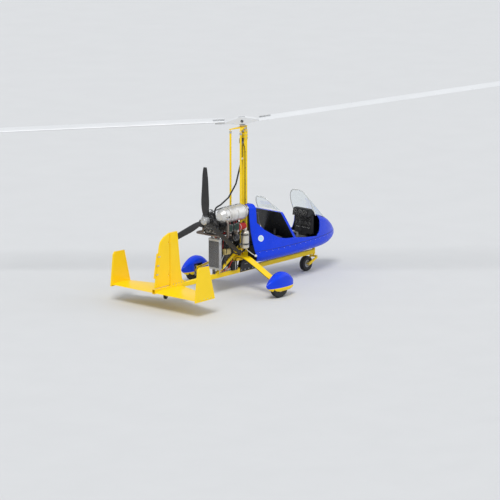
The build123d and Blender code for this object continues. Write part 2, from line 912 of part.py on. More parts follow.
with BuildPart() as silencer:
    with BuildSketch(side(silencer_y)):
        with BuildLine():
            Polyline(
                (silencer_rear, silencer_z),
                *[(x, silencer_z + r) for x, r in silencer_profile],
                (silencer_front, silencer_z),
                close=True,
            )
        make_face()
        for x in (-560, -415, -270):
            with Locations((x, silencer_z + silencer_radius / 2)):
                Rectangle(12, silencer_radius + 10)
    revolve(axis=Axis((0, silencer_y, silencer_z), (1, 0, 0)))
    for x in (-620, -360):
        with Locations((x, -45, crank_z + 95)):
            Box(10, 85, 50, align=(Align.CENTER, Align.MAX, Align.MIN))
    with BuildSketch(side(outlet_y)):
        with Locations((outlet_x, silencer_z)):
            Circle(outlet_radius)
    extrude(amount=-80)
    add(silencer_core, mode=Mode.SUBTRACT)
    with BuildSketch(side(outlet_y)):
        with Locations((outlet_x, silencer_z)):
            Circle(outlet_radius - silencer_wall)
    extrude(amount=-100, mode=Mode.SUBTRACT)
save(silencer.part, "silencer")

# Exhaust: two headers a side drop into a collector, which rises outside the starboard heads
# into the silencer. The port collector crosses under the crankcase.
pipe_radius = 17
pipe_bore = 15
outer_y = 310
riser_top = 1125
header_y = 245
header_xs = (-435, -580)


def exhaust_routes(sign, low, riser_x):
    """Routes of the collector and the two headers of one side (1 is port)."""
    collector = [(-405, sign * outer_y, low), (riser_x, sign * outer_y, low)]
    if sign > 0:
        collector.append((riser_x, -outer_y, low))
    collector.append((riser_x, -outer_y, riser_top))
    collector.append((riser_x, silencer_y - 55, silencer_z - 30))
    routes = [collector]
    for x in header_xs:
        routes.append(
            [(x, sign * header_y, crank_z - 56), (x, sign * header_y, low), (x, sign * outer_y, low)]
        )
    return routes


with BuildPart() as pipes:
    for radius, mode in ((pipe_radius, Mode.ADD), (pipe_bore, Mode.SUBTRACT)):
        for sign, low, riser_x in ((-1, 940, -616), (1, 905, -660)):
            for points in exhaust_routes(sign, low, riser_x):
                with BuildLine() as route:
                    FilletPolyline(*points, radius=30)
                with BuildSketch(Plane(origin=route.line @ 0, z_dir=route.line % 0)):
                    Circle(radius)
                sweep(path=route.line, mode=mode)
    # Closed front end of each collector
    for sign, low in ((-1, 940), (1, 905)):
        with BuildSketch(across(-405)):
            with Locations((sign * outer_y, low)):
                Circle(pipe_radius)
        extrude(amount=4)
    add(silencer, mode=Mode.SUBTRACT)
    add(silencer_core, mode=Mode.SUBTRACT)
save(pipes.part, "exhaust_pipes")

# Engine mount: plate on the housing and four tubes forward to the mast
with BuildPart() as engine_mount:
    with BuildSketch(across(-232)):
        with Locations((0, crank_z)):
            RectangleRounded(130, 130, 20)
    extrude(amount=10)
    for y, mast_y in ((48, 16), (-48, -16)):
        for z in (crank_z - 48, crank_z + 48):
            start = Vector(-222, y, z)
            end = Vector(strut_head_x, mast_y, z)
            with BuildSketch(Plane(origin=start - (end - start).normalized() * 4,
                                   z_dir=(end - start).normalized())):
                Circle(12)
            extrude(amount=(end - start).length + 20)
    split(bisect_by=Plane.YZ.offset(strut_head_x), keep=Keep.BOTTOM)
save(engine_mount.part, "engine_mount")

# Radiator: core between its end tanks, on a post from the keel
radiator_x = -597
with BuildPart() as radiator_core:
    with Locations((radiator_x, 0, 412)):
        Box(50, 200, 400, align=(Align.CENTER, Align.CENTER, Align.MIN))
save(radiator_core.part, "radiator_core")
with BuildPart() as radiator_tanks:
    for low, high in ((384, 412), (812, 846)):
        with Locations((radiator_x, 0, low)):
            Box(64, 206, high - low, align=(Align.CENTER, Align.CENTER, Align.MIN))
save(radiator_tanks.part, "radiator_tanks")
with BuildPart() as hoses:
    for sign in (1, -1):
        with BuildLine() as route:
            FilletPolyline(
                (radiator_x, sign * 60, 846),
                (radiator_x, sign * 60, 890),
                (-535, sign * 250, 890),
                (-535, sign * 250, crank_z - 56),
                radius=26,
            )
        with BuildSketch(Plane(origin=route.line @ 0, z_dir=route.line % 0)):
            Circle(12)
        sweep(path=route.line)
save(hoses.part, "coolant_hoses")

# Alternator below the crankcase, its pulley to starboard
with BuildPart() as alternator:
    with BuildSketch(side(-60)):
        with Locations((-370, 862)):
            Circle(48)
    extrude(amount=140)
    with BuildSketch(side(-200)):
        with Locations((-370, 862)):
            Circle(60)
    extrude(amount=24)
    with Locations((-370, -78, 900)):
        Box(40, 26, crank_z - 95 - 900, align=(Align.CENTER, Align.CENTER, Align.MIN))
save(alternator.part, "alternator")

# Oil tank on two bands from the mast
oil_x = -175
oil_y = -220
oil_radius = 60
with BuildPart() as oil_tank:
    with BuildSketch(side(oil_y)):
        with BuildLine():
            Polyline(
                (oil_x, 665),
                (oil_x + 50, 665),
                (oil_x + oil_radius, 678),
                (oil_x + oil_radius, 905),
                (oil_x + 46, 925),
                (oil_x + 22, 930),
                (oil_x + 22, 950),
                (oil_x, 950),
                close=True,
            )
        make_face()
    revolve(axis=Axis((oil_x, oil_y, 0), (0, 0, 1)))
save(oil_tank.part, "oil_tank")
with BuildPart() as tank_bracket:
    for z in (720, 860):
        with BuildSketch(Plane.XY.offset(z)):
            with BuildLine():
                Polyline((60, -25), (30, -25), (-150, -180), (-130, -200), close=True)
            make_face()
            with Locations((oil_x, oil_y)):
                Circle(oil_radius + 5)
                Circle(oil_radius + 0.3, mode=Mode.SUBTRACT)
        extrude(amount=22)
    # Post of the radiator on the keel
    with Locations((radiator_x - 26, 0, keel_top)):
        Box(26, 40, 384 - keel_top, align=(Align.CENTER, Align.CENTER, Align.MIN))
save(tank_bracket.part, "brackets")

# Propeller: hub and three twisted blades
prop_hub_front = -779
prop_hub_rear = -845
prop_hub_radius = 62
prop_bolt_circle = 101.6
prop_bolt_radius = 4
prop_mid_x = (prop_hub_front + prop_hub_rear) / 2
with BuildPart() as prop_hub:
    with BuildSketch(across(prop_hub_front)):
        with Locations((0, prop_z)):
            Circle(prop_hub_radius)
            with PolarLocations(prop_bolt_circle / 2, 6):
                Circle(prop_bolt_radius, mode=Mode.SUBTRACT)
    extrude(amount=prop_hub_rear - prop_hub_front)
save(prop_hub.part, "propeller_hub")
with BuildPart() as prop_blades:
    for n in range(3):
        turn = 90 + 120 * n
        out = Vector(0, cos(radians(turn)), sin(radians(turn)))
        chord_way = Vector(0, -sin(radians(turn)), cos(radians(turn)))
        for r, chord, thickness, pitch in (
            (prop_hub_radius - 1, 56, 34, 48),
            (230, 118, 22, 30),
            (520, 104, 14, 19),
            (prop_radius, 56, 6, 13),
        ):
            way = chord_way * cos(radians(pitch)) + Vector(1, 0, 0) * sin(radians(pitch))
            with BuildSketch(
                Plane(origin=Vector(prop_mid_x, 0, prop_z) + out * r, x_dir=way, z_dir=out)
            ):
                Ellipse(chord / 2, thickness / 2)
        loft()
    add(prop_hub, mode=Mode.SUBTRACT)
save(prop_blades.part, "propeller_blades")

# Rotor head. Its plane leans back with the disc, about the pivot bolt on the mast.
head = Plane(
    origin=(mast_x, 0, pivot_z),
    x_dir=(cos(radians(disc_tilt)), 0, sin(radians(disc_tilt))),
    z_dir=(-sin(radians(disc_tilt)), 0, cos(radians(disc_tilt))),
)
pin_gap = 0.3
cheek_thickness = 6
save(mast.part, "mast")
with BuildPart() as mast_cheeks:
    for y in (mast_width / 2 + cheek_thickness, -mast_width / 2):
        with BuildSketch(side(y)):
            with BuildLine():
                Polyline(
                    (mast_x - 38, 2240),
                    (mast_x + 38, 2240),
                    (mast_x + 34, pivot_z + 8),
                    (mast_x + 18, pivot_z + 24),
                    (mast_x - 18, pivot_z + 24),
                    (mast_x - 34, pivot_z + 8),
                    close=True,
                )
            make_face()
            with Locations((mast_x, pivot_z)):
                Circle(8 + pin_gap, mode=Mode.SUBTRACT)
        extrude(amount=cheek_thickness)
save(mast_cheeks.part, "mast_cheeks")

roll_z = 34
roll_bolt_radius = 7
with BuildPart() as gimbal:
    with BuildSketch(Plane(origin=head.origin, x_dir=head.x_dir, z_dir=(0, -1, 0)).offset(-19)):
        RectangleRounded(52, 44, 6)
        with Locations((0, roll_z - 8)):
            RectangleRounded(52, 46, 6)
    extrude(amount=38)
    with BuildSketch(side(mast_width / 2 + cheek_thickness + 6)):
        with Locations((mast_x, pivot_z)):
            Circle(8)
    extrude(amount=mast_width + 2 * cheek_thickness + 12)
    with BuildSketch(Plane(origin=head.from_local_coords((-40, 0, roll_z)), x_dir=(0, 1, 0),
                           z_dir=head.x_dir)):
        Circle(roll_bolt_radius + pin_gap)
    extrude(amount=80, mode=Mode.SUBTRACT)
save(gimbal.part, "gimbal_block")

plate_low = 58
plate_thickness = 12
with BuildPart() as head_plate:
    with BuildSketch(head.offset(plate_low)):
        with BuildLine():
            Polyline(
                (42, 30),
                (42, -30),
                (-60, -48),
                (-208, -112),
                (-214, -96),
                (-190, -84),
                (-96, 0),
                (-190, 84),
                (-214, 96),
                (-208, 112),
                (-60, 48),
                close=True,
            )
        make_face()
    extrude(amount=plate_thickness)
    # Bearing housing
    with BuildSketch(head.offset(plate_low + plate_thickness)):
        with Locations((-hub_offset, 0)):
            Circle(38)
    extrude(amount=26)
    # Studs down into the control rods, set back and out so that they swing about the bores' middles
    stud_x = rod_x - stud_set_back
    stud_y = rod_spread + stud_set_out
    with BuildSketch(Plane.XY.offset(rod_top - stud_reach)):
        with Locations((stud_x, stud_y), (stud_x, -stud_y)):
            Circle(stud_radius)
    extrude(amount=stud_reach + 24)
save(head_plate.part, "head_plate")

# Roll hanger: two tabs under the head plate, with the roll bolt through them
tab_thickness = 10
tab_width = 40
tab_drop = 16
roll_bolt_length = 88
with BuildPart() as roll_hanger:
    for x in (35, -35):
        with BuildSketch(head.offset(roll_z - tab_drop)):
            with Locations((x, 0)):
                Rectangle(tab_thickness, tab_width)
        extrude(amount=plate_low - roll_z + tab_drop)
    with BuildSketch(
        Plane(
            origin=head.from_local_coords((-roll_bolt_length / 2, 0, roll_z)),
            x_dir=(0, 1, 0),
            z_dir=head.x_dir,
        )
    ):
        Circle(roll_bolt_radius)
    extrude(amount=roll_bolt_length)
save(roll_hanger.part, "roll_hanger")

# Control rods: tubes from the mixer up to the head
for name, sign in (("left", 1), ("right", -1)):
    with BuildPart() as rod:
        with BuildSketch(Plane.XY.offset(rod_foot_z)):
            with Locations((rod_x, sign * rod_spread)):
                Circle(rod_radius)
                Circle(rod_bore, mode=Mode.SUBTRACT)
        extrude(amount=rod_top - rod_foot_z)
    save(rod.part, f"{name}_control_rod")

# Pre-rotator: drive unit on the back of the mast and its flexible shaft to the engine
with BuildPart() as drive_unit:
    with Locations((strut_head_x, 0, 2190)):
        Box(52, 46, 76, align=(Align.MAX, Align.CENTER, Align.MIN))
    with BuildSketch(Plane.XY.offset(2266)):
        with Locations((strut_head_x - 30, 0)):
            Circle(9)
    extrude(amount=60)
save(drive_unit.part, "prerotator_drive")
hose_x = strut_head_x - 30
with BuildPart() as drive_hose:
    with BuildLine() as route:
        FilletPolyline(
            (hose_x, 0, 2190),
            (hose_x, 0, 1930),
            (-105, 20, 1590),
            (-260, 30, 1405),
            (-430, 36, 1322),
            (-560, 36, 1290),
            (-560, 36, crank_z + 95),
            radius=70,
        )
    with BuildSketch(Plane(origin=route.line @ 0, z_dir=route.line % 0)):
        Circle(12)
    sweep(path=route.line)
save(drive_hose.part, "prerotator_hose")

# Hub tower: flange on the bearing and the post that carries the teeter bolt.
# The rotor's own plane has its X along the starboard-forward blade.
hub_origin = head.from_local_coords((-hub_offset, 0, 0))
blade_way = Vector(head.x_dir) * cos(radians(blade_azimuth)) - Vector(0, 1, 0) * sin(
    radians(blade_azimuth)
)
hub = Plane(origin=hub_origin, x_dir=blade_way, z_dir=head.z_dir)
tower_low = plate_low + plate_thickness + 26 + 2
post_length = 60
post_width = 36
post_gap = 3
bolt_radius = 9
with BuildPart() as hub_tower:
    with BuildSketch(hub.offset(tower_low)):
        Circle(46)
    extrude(amount=10)
    with BuildSketch(hub.offset(tower_low)):
        RectangleRounded(post_length, post_width, 8)
    extrude(amount=teeter_height + 24 - tower_low)
    with BuildSketch(
        Plane(origin=hub.from_local_coords((0, -60, teeter_height)), x_dir=hub.x_dir, z_dir=hub.y_dir)
    ):
        Circle(bolt_radius + pin_gap)
    extrude(amount=120, mode=Mode.SUBTRACT)
save(hub_tower.part, "hub_tower")

# Hub bar: coned arms that deepen to two cheeks, which hang on the teeter bolt over the post
bar_z = teeter_height - 20
with BuildPart() as hub_bar:
    with BuildSketch(
        Plane(origin=hub.from_local_coords((0, hub_width / 2, bar_z)), x_dir=hub.x_dir,
              z_dir=-hub.y_dir)
    ):
        half = hub_thickness / 2
        rise = (hub_arm - 60) * sin(radians(coning))
        seat_x = blade_root - 10
        seat_rise = (seat_x - 60) * sin(radians(coning))
        with BuildLine():
            Polyline(
                (-70, -hub_thickness),
                (70, -hub_thickness),
                (seat_x, seat_rise - half),
                (hub_arm, rise - half),
                (hub_arm, rise + half),
                (seat_x, seat_rise + half),
                (60, hub_depth - 8),
                (40, hub_depth),
                (-40, hub_depth),
                (-60, hub_depth - 8),
                (-seat_x, seat_rise + half),
                (-hub_arm, rise + half),
                (-hub_arm, rise - half),
                (-seat_x, seat_rise - half),
                close=True,
            )
        make_face()
    extrude(amount=hub_width)
    with BuildSketch(hub.offset(bar_z - hub_thickness - 1)):
        Rectangle(post_length + 36, post_width + 2 * post_gap)
    extrude(amount=hub_depth + hub_thickness + 2, mode=Mode.SUBTRACT)
    with BuildSketch(
        Plane(origin=hub.from_local_coords((0, -hub_width / 2 - 14, teeter_height)),
              x_dir=hub.x_dir, z_dir=hub.y_dir)
    ):
        Circle(bolt_radius)
    extrude(amount=hub_width + 28)
save(hub_bar.part, "hub_bar")

# Blades: constant section, clamped on top of the hub bar's arms
with BuildPart() as blades:
    for sign in (1, -1):
        out = Vector(hub.x_dir) * sign * cos(radians(coning)) + Vector(hub.z_dir) * sin(
            radians(coning)
        )
        nose_way = Vector(hub.y_dir) * sign
        arm = Vector(hub.from_local_coords((0, 0, bar_z - 60 * sin(radians(coning)))))
        root = arm + out * blade_root + out.cross(nose_way) * (hub_thickness + blade_thickness) / 2
        with BuildSketch(Plane(origin=root, x_dir=nose_way, z_dir=out)):
            with BuildLine():
                for face in (1, -1):
                    ThreePointArc(
                        (blade_chord * 0.28, 0),
                        (blade_chord * 0.25, face * blade_thickness * 0.3),
                        (blade_chord * 0.17, face * blade_thickness * 0.45),
                    )
                    ThreePointArc(
                        (blade_chord * 0.17, face * blade_thickness * 0.45),
                        (0, face * blade_thickness * 0.5),
                        (-blade_chord * 0.2, face * blade_thickness * 0.38),
                    )
                    Line(
                        (-blade_chord * 0.2, face * blade_thickness * 0.38),
                        (-blade_chord * 0.72, face * blade_edge / 2),
                    )
                Line((-blade_chord * 0.72, blade_edge / 2), (-blade_chord * 0.72, -blade_edge / 2))
            make_face()
        extrude(amount=rotor_radius - blade_root)
save(blades.part, "rotor_blades")
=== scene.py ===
from math import cos, pi, radians, sin

import bmesh
import bpy
from mathutils import Matrix, Vector


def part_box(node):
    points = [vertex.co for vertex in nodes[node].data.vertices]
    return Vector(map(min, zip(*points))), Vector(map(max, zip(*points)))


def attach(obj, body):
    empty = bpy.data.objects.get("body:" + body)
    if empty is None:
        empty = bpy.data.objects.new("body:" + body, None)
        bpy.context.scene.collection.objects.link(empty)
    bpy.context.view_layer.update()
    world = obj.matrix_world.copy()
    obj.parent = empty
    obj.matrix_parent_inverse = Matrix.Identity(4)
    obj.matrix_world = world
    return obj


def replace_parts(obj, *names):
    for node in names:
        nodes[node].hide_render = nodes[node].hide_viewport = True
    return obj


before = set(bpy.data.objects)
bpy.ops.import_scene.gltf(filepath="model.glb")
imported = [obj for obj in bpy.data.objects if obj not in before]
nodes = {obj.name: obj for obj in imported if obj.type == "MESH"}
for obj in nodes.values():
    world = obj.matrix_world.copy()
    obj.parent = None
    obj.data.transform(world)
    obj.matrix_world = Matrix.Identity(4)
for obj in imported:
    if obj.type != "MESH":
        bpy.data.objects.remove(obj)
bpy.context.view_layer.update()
scene = bpy.context.scene

# Camera: a long lens from the rear starboard side, at the photograph's angle
VIEW_AZIMUTH = radians(-49)
VIEW_HEIGHT = radians(12.6)
VIEW_DISTANCE = 60.0
VIEW_WIDTH = 7.463
VIEW_TARGET = Vector((0.19, 0.0, 0.539))
back = Vector(
    (
        sin(VIEW_AZIMUTH) * cos(VIEW_HEIGHT),
        -cos(VIEW_AZIMUTH) * cos(VIEW_HEIGHT),
        sin(VIEW_HEIGHT),
    )
)
camera_data = bpy.data.cameras.new("camera")
camera_data.sensor_width = 36.0
camera_data.lens = camera_data.sensor_width * VIEW_DISTANCE / VIEW_WIDTH
camera_data.clip_end = 400.0
camera = bpy.data.objects.new("camera", camera_data)
scene.collection.objects.link(camera)
camera.location = VIEW_TARGET + back * VIEW_DISTANCE
camera.rotation_euler = (-back).to_track_quat("-Z", "Y").to_euler()
scene.camera = camera
scene.view_settings.view_transform = "Standard"


# Materials


def feed(tree, node, values):
    """Feeds a node's inputs, each with a socket or a plain value."""
    for key, value in values.items():
        if isinstance(value, bpy.types.NodeSocket):
            tree.links.new(value, node.inputs[key])
        else:
            node.inputs[key].default_value = value


def add_node(tree, kind, values):
    """Adds a shader node and feeds it."""
    node = tree.nodes.new(f"ShaderNode{kind}")
    feed(tree, node, values)
    return node


def new_material(name):
    """A node material with its shader and object coordinates."""
    material = bpy.data.materials.new(name)
    material.use_nodes = True
    tree = material.node_tree
    shader = tree.nodes["Principled BSDF"]
    return material, tree, shader, add_node(tree, "TexCoord", {}).outputs["Object"]


def noise(tree, where, scale):
    values = {"Vector": where, "Scale": scale, "Detail": 4.0, "Roughness": 0.55}
    return add_node(tree, "TexNoise", values).outputs["Fac"]


def wave(tree, where, direction, scale, distortion=0.0):
    node = add_node(
        tree, "TexWave", {"Vector": where, "Scale": scale, "Distortion": distortion}
    )
    node.bands_direction = direction
    return node.outputs["Fac"]


def maths(tree, operation, *values):
    """A maths node over sockets and plain numbers."""
    node = add_node(tree, "Math", dict(enumerate(values)))
    node.operation = operation
    return node.outputs["Value"]


def parts_of(tree, vector):
    """The X, Y and Z of a vector."""
    return add_node(tree, "SeparateXYZ", {"Vector": vector}).outputs


def normal_parts(tree):
    return parts_of(tree, add_node(tree, "TexCoord", {}).outputs["Normal"])


def ramp(tree, factor, stops):
    """A colour ramp over a factor. Stops are place and colour."""
    node = add_node(tree, "ValToRGB", {"Fac": factor})
    for element, (place, colour) in zip(node.color_ramp.elements, stops):
        element.position = place
        element.color = (*colour, 1.0)
    return node.outputs["Color"]


def shade(colour, share):
    return tuple(min(1.0, part * share) for part in colour)


def mottle(tree, cloud, colour, dark, light):
    """A colour that wanders between a darker and a lighter share of itself."""
    return ramp(tree, cloud, ((0.3, shade(colour, dark)), (0.7, shade(colour, light))))


def map_range(tree, value, low, high, to_low, to_high):
    values = {"Value": value, "From Min": low, "From Max": high}
    values |= {"To Min": to_low, "To Max": to_high}
    return add_node(tree, "MapRange", values).outputs["Result"]


def mix(tree, factor, *colours):
    """Mixes two colours, each a socket or a plain colour."""
    node = add_node(tree, "Mix", {"Factor": factor})
    node.data_type = "RGBA"
    sockets = [n for n, socket in enumerate(node.inputs) if socket.type == "RGBA"]
    for socket, colour in zip(sockets, colours):
        plain = isinstance(colour, tuple)
        feed(tree, node, {socket: (*colour, 1.0) if plain else colour})
    return [socket for socket in node.outputs if socket.type == "RGBA"][0]


def add_bump(tree, shader, height, strength, distance=0.001):
    values = {"Height": height, "Strength": strength, "Distance": distance}
    feed(tree, shader, {"Normal": add_node(tree, "Bump", values).outputs["Normal"]})


def paint(
    name, colour, rough=0.3, metal=0.0, coat=0.0, vary=0.1, scale=5.0, grain=0.0,
    grain_scale=300.0, rough_spread=0.08, wear=None, shine=0.5,
):
    """A surface whose colour and roughness wander, with a fine grain and optional worn edges."""
    material, tree, shader, where = new_material(name)
    base = mottle(tree, noise(tree, where, scale), colour, 1.0 - vary, 1.0 + vary)
    if wear is not None:
        pointiness = add_node(tree, "NewGeometry", {}).outputs["Pointiness"]
        edges = map_range(tree, pointiness, 0.52, 0.6, 0.0, 0.85)
        breakup = map_range(tree, noise(tree, where, 40.0), 0.45, 0.6, 0.0, 1.0)
        base = mix(tree, maths(tree, "MULTIPLY", edges, breakup), base, wear)
    cloud = noise(tree, where, scale * 6.0)
    spread = map_range(tree, cloud, 0.3, 0.7, rough - rough_spread, rough + rough_spread)
    values = {"Base Color": base, "Roughness": spread, "Metallic": metal}
    values |= {"Specular IOR Level": shine, "Coat Weight": coat, "Coat Roughness": 0.06}
    feed(tree, shader, values)
    if grain:
        add_bump(tree, shader, noise(tree, where, grain_scale), grain)
    return material


BLUE = (0.001, 0.045, 0.72)
YELLOW = (0.98, 0.66, 0.004)
WHITE = (0.72, 0.73, 0.74)
# Dark liner for the inside of the pod, also used as painted shade on the gear mount
DARK_LINER_AND_SHADE = (0.028, 0.029, 0.031)
yellow_paint = paint(
    "yellow_powder_coat", YELLOW, 0.34, coat=0.15, vary=0.06, grain=0.08, shine=0.25
)
yellow_shell = paint(
    "yellow_gelcoat", YELLOW, 0.32, coat=0.2, vary=0.03, grain=0.01, grain_scale=24.0,
    rough_spread=0.04, shine=0.25,
)
white_blade = paint("white_blade_paint", WHITE, 0.35, vary=0.04, scale=2.0, grain=0.04)
bare_alloy = paint(
    "bare_alloy", (0.56, 0.57, 0.58), 0.42, metal=0.85, vary=0.12, scale=12.0, grain=0.25
)
dark_alloy = paint(
    "dark_alloy", (0.035, 0.035, 0.038), 0.5, metal=0.3, vary=0.25, scale=16.0, grain=0.5,
    grain_scale=420.0, wear=(0.3, 0.3, 0.3),
)
black_steel = paint(
    "black_steel", (0.03, 0.03, 0.032), 0.42, metal=0.2, vary=0.2, scale=10.0, grain=0.15,
    wear=(0.25, 0.24, 0.23),
)
black_plastic = paint(
    "black_plastic", (0.02, 0.02, 0.022), 0.62, vary=0.2, scale=9.0, grain=0.5, grain_scale=900.0
)
rubber = paint("rubber", (0.018, 0.018, 0.019), 0.75, vary=0.25, scale=20.0, grain=0.3)
zinc = paint("zinc_fasteners", (0.5, 0.5, 0.47), 0.38, metal=0.9, vary=0.15, scale=40.0)
red_rubber = paint("red_rubber", (0.5, 0.03, 0.025), 0.5, vary=0.15, scale=14.0, grain=0.15)
white_plastic = paint("white_plastic", (0.78, 0.78, 0.75), 0.4, vary=0.05, grain=0.1)
green_cover = paint(
    "green_cover_paint", (0.007, 0.032, 0.02), 0.45, vary=0.12, scale=14.0, grain=0.2
)
amber_plastic = paint("amber_plastic", (0.6, 0.47, 0.18), 0.5, vary=0.12, scale=9.0, grain=0.15)
seat_shell = paint("seat_tank_plastic", (0.035, 0.036, 0.038), 0.55, vary=0.15, grain=0.3)
gold_alloy = paint("gold_alloy", (0.62, 0.42, 0.1), 0.4, metal=0.8, scale=12.0, grain=0.2)
pale_film = paint("pale_film", (0.5, 0.72, 0.85), 0.35, vary=0.04, grain=0.05)
white_film = paint("white_film", (0.8, 0.81, 0.82), 0.35, vary=0.04, grain=0.05)
red_cloth = paint("filter_gauze", (0.42, 0.02, 0.018), 0.85, vary=0.25, scale=30.0, grain=0.8)
tank_alloy = paint("tank_alloy", (0.66, 0.63, 0.56), 0.38, metal=0.75, scale=9.0, grain=0.3)


def heat_steel(name, colour, stain, rough):
    """Steel that heat has stained in patches."""
    material, tree, shader, where = new_material(name)
    stained = map_range(tree, noise(tree, where, 7.0), 0.42, 0.66, 0.0, 0.75)
    spread = map_range(tree, noise(tree, where, 60.0), 0.3, 0.7, rough - 0.1, rough + 0.12)
    base = mix(tree, stained, colour, stain)
    feed(tree, shader, {"Base Color": base, "Roughness": spread, "Metallic": 0.85})
    add_bump(tree, shader, noise(tree, where, 260.0), 0.2)
    return material


silencer_steel = heat_steel("silencer_steel", (0.74, 0.74, 0.73), (0.6, 0.57, 0.52), 0.38)
pipe_steel = heat_steel("pipe_steel", (0.3, 0.25, 0.21), (0.12, 0.09, 0.1), 0.5)


def woven(name, colour, threads):
    """Plain weave from two crossed waves."""
    material, tree, shader, where = new_material(name)
    weave = maths(
        tree, "MULTIPLY", *(wave(tree, where, axis, threads, 0.4) for axis in ("X", "Z"))
    )
    base = mottle(tree, noise(tree, where, 14.0), colour, 0.75, 1.3)
    feed(tree, shader, {"Base Color": base, "Roughness": 0.9, "Sheen Weight": 0.3})
    add_bump(tree, shader, weave, 0.5)
    return material


seat_cloth = woven("seat_cloth", (0.022, 0.022, 0.026), 160.0)
webbing = woven("belt_webbing", (0.05, 0.052, 0.06), 260.0)


def clear_screen(name):
    """Clear acrylic with faint dust."""
    material, tree, shader, where = new_material(name)
    dust = map_range(tree, noise(tree, where, 9.0), 0.35, 0.75, 0.03, 0.13)
    values = {"Base Color": (0.93, 0.97, 0.98, 1.0), "Roughness": dust, "IOR": 1.2}
    feed(tree, shader, values | {"Transmission Weight": 1.0, "Specular IOR Level": 0.7})
    return material


acrylic = clear_screen("clear_acrylic")


def gelcoat_and_shade(name, first, second, mask, rough=0.22):
    """Two colours on one surface, mostly of gelcoat; on the gear mount the first one is painted shade. The
    mask is a function that makes the share of the second one.
    """
    material, tree, shader, where = new_material(name)
    cloud = noise(tree, where, 5.0)
    tones = [mottle(tree, cloud, colour, 0.94, 1.06) for colour in (first, second)]
    spread = map_range(tree, noise(tree, where, 30.0), 0.3, 0.7, rough - 0.05, rough + 0.07)
    values = {"Base Color": mix(tree, mask(tree, where), *tones), "Roughness": spread}
    values |= {"Specular IOR Level": 0.2, "Coat Weight": 0.15, "Coat Roughness": 0.06}
    feed(tree, shader, values)
    add_bump(tree, shader, noise(tree, where, 60.0), 0.04)
    return material


def above(level):
    """Mask of what lies above a height."""

    def mask(tree, where):
        return map_range(tree, parts_of(tree, where)["Z"], level - 0.001, level + 0.001, 0.0, 1.0)

    return mask


def inside_shell(middle_z):
    """Mask of the faces that look in towards the line through the middle of the pod."""

    def mask(tree, where):
        facing_way, place = normal_parts(tree), parts_of(tree, where)
        sideways = maths(tree, "MULTIPLY", facing_way["Y"], place["Y"])
        height = maths(tree, "SUBTRACT", place["Z"], middle_z)
        upward = maths(tree, "MULTIPLY", facing_way["Z"], height)
        outward = maths(tree, "ADD", sideways, upward)
        return map_range(tree, outward, -0.045, -0.035, 1.0, 0.0)

    return mask


def broad_faces(tree, where):
    """Mask of the faces that look forward or back."""
    lengthways = maths(tree, "ABSOLUTE", normal_parts(tree)["X"])
    return map_range(tree, lengthways, 0.68, 0.72, 0.0, 1.0)


POD_MIDDLE_Z = 0.66
FAIRING_BAND_Z = 0.163
SADDLE_LOW_Z = 0.441
blue_shell = gelcoat_and_shade("blue_gelcoat", BLUE, DARK_LINER_AND_SHADE, inside_shell(POD_MIDDLE_Z))
bulkhead_paint = gelcoat_and_shade("bulkhead_gelcoat", BLUE, DARK_LINER_AND_SHADE, broad_faces)
fairing_paint = gelcoat_and_shade("fairing_gelcoat", YELLOW, BLUE, above(FAIRING_BAND_Z))
# Gear mount: the dark below the saddle's bottom is painted shade under the leg, yellow above
mount_yellow_and_shade = gelcoat_and_shade("gear_mount_yellow_and_painted_shade", DARK_LINER_AND_SHADE, YELLOW, above(SADDLE_LOW_Z), rough=0.4)


def radiator_fins(name):
    """Fine horizontal fins across upright tubes, with painted shade in the gaps between them."""
    material, tree, shader, where = new_material(name)
    fins, tubes = wave(tree, where, "Z", 90.0), wave(tree, where, "Y", 16.0)
    both = maths(tree, "MULTIPLY", fins, tubes)
    # The ramp's dark stop is painted shade in the gaps between fins and tubes
    base = ramp(tree, both, ((0.1, (0.075, 0.075, 0.08)), (0.8, (0.4, 0.4, 0.41))))
    feed(tree, shader, {"Base Color": base, "Metallic": 0.6, "Roughness": 0.5})
    add_bump(tree, shader, both, 0.8, 0.002)
    return material


# Finishes of the CAD nodes
finishes = {
    blue_shell: "lower_shell upper_shell",
    bulkhead_paint: "seat_bulkhead",
    mount_yellow_and_shade: "gear_mount",
    fairing_paint: "wheel_fairings",
    yellow_paint: "keel mast mast_strut control_mixer axle_knuckles nose_fork mast_cheeks"
    " head_plate roll_hanger left_control_rod right_control_rod",
    yellow_shell: "gear_leg stabilisers side_fins centre_fin rudder trim_tab",
    rubber: "left_tyre right_tyre nose_tyre tail_wheel coolant_hoses prerotator_hose",
    bare_alloy: "left_rim right_rim nose_rim radiator_tanks propeller_hub gimbal_block"
    " hub_tower carburettors",
    dark_alloy: "crankcase gearbox cylinders alternator prerotator_drive",
    black_steel: "tail_bracket engine_mount brackets cockpit_controls",
    black_plastic: "instrument_panel propeller_blades",
    seat_shell: "seat_bases",
    tank_alloy: "oil_tank",
    red_cloth: "air_filters",
    seat_cloth: "front_seat rear_seat",
    silencer_steel: "silencer",
    pipe_steel: "exhaust_pipes",
    radiator_fins("radiator_fins"): "radiator_core",
    acrylic: "front_screen rear_screen",
    white_blade: "hub_bar rotor_blades",
}
for material, names in finishes.items():
    for name in names.split():
        nodes[name].data.materials.clear()
        nodes[name].data.materials.append(material)


# Building blocks
UP, DOWN = (0, 0, 1), (0, 0, -1)
FORWARD, AFT = (1, 0, 0), (-1, 0, 0)
ACROSS = Vector((0, 1, 0))
SIDES = (("port", 1), ("starboard", -1))
WHEELS = (("left", 1), ("right", -1))


def at(x, y, z):
    return Matrix.Translation((x, y, z))


def turned(angle):
    return Matrix.Rotation(angle, 4, "Z")


def facing(place, normal):
    """A matrix whose Z is the normal, at a place."""
    turn = Vector(normal).normalized().to_track_quat("Z", "Y").to_matrix().to_4x4()
    return Matrix.Translation(Vector(place)) @ turn


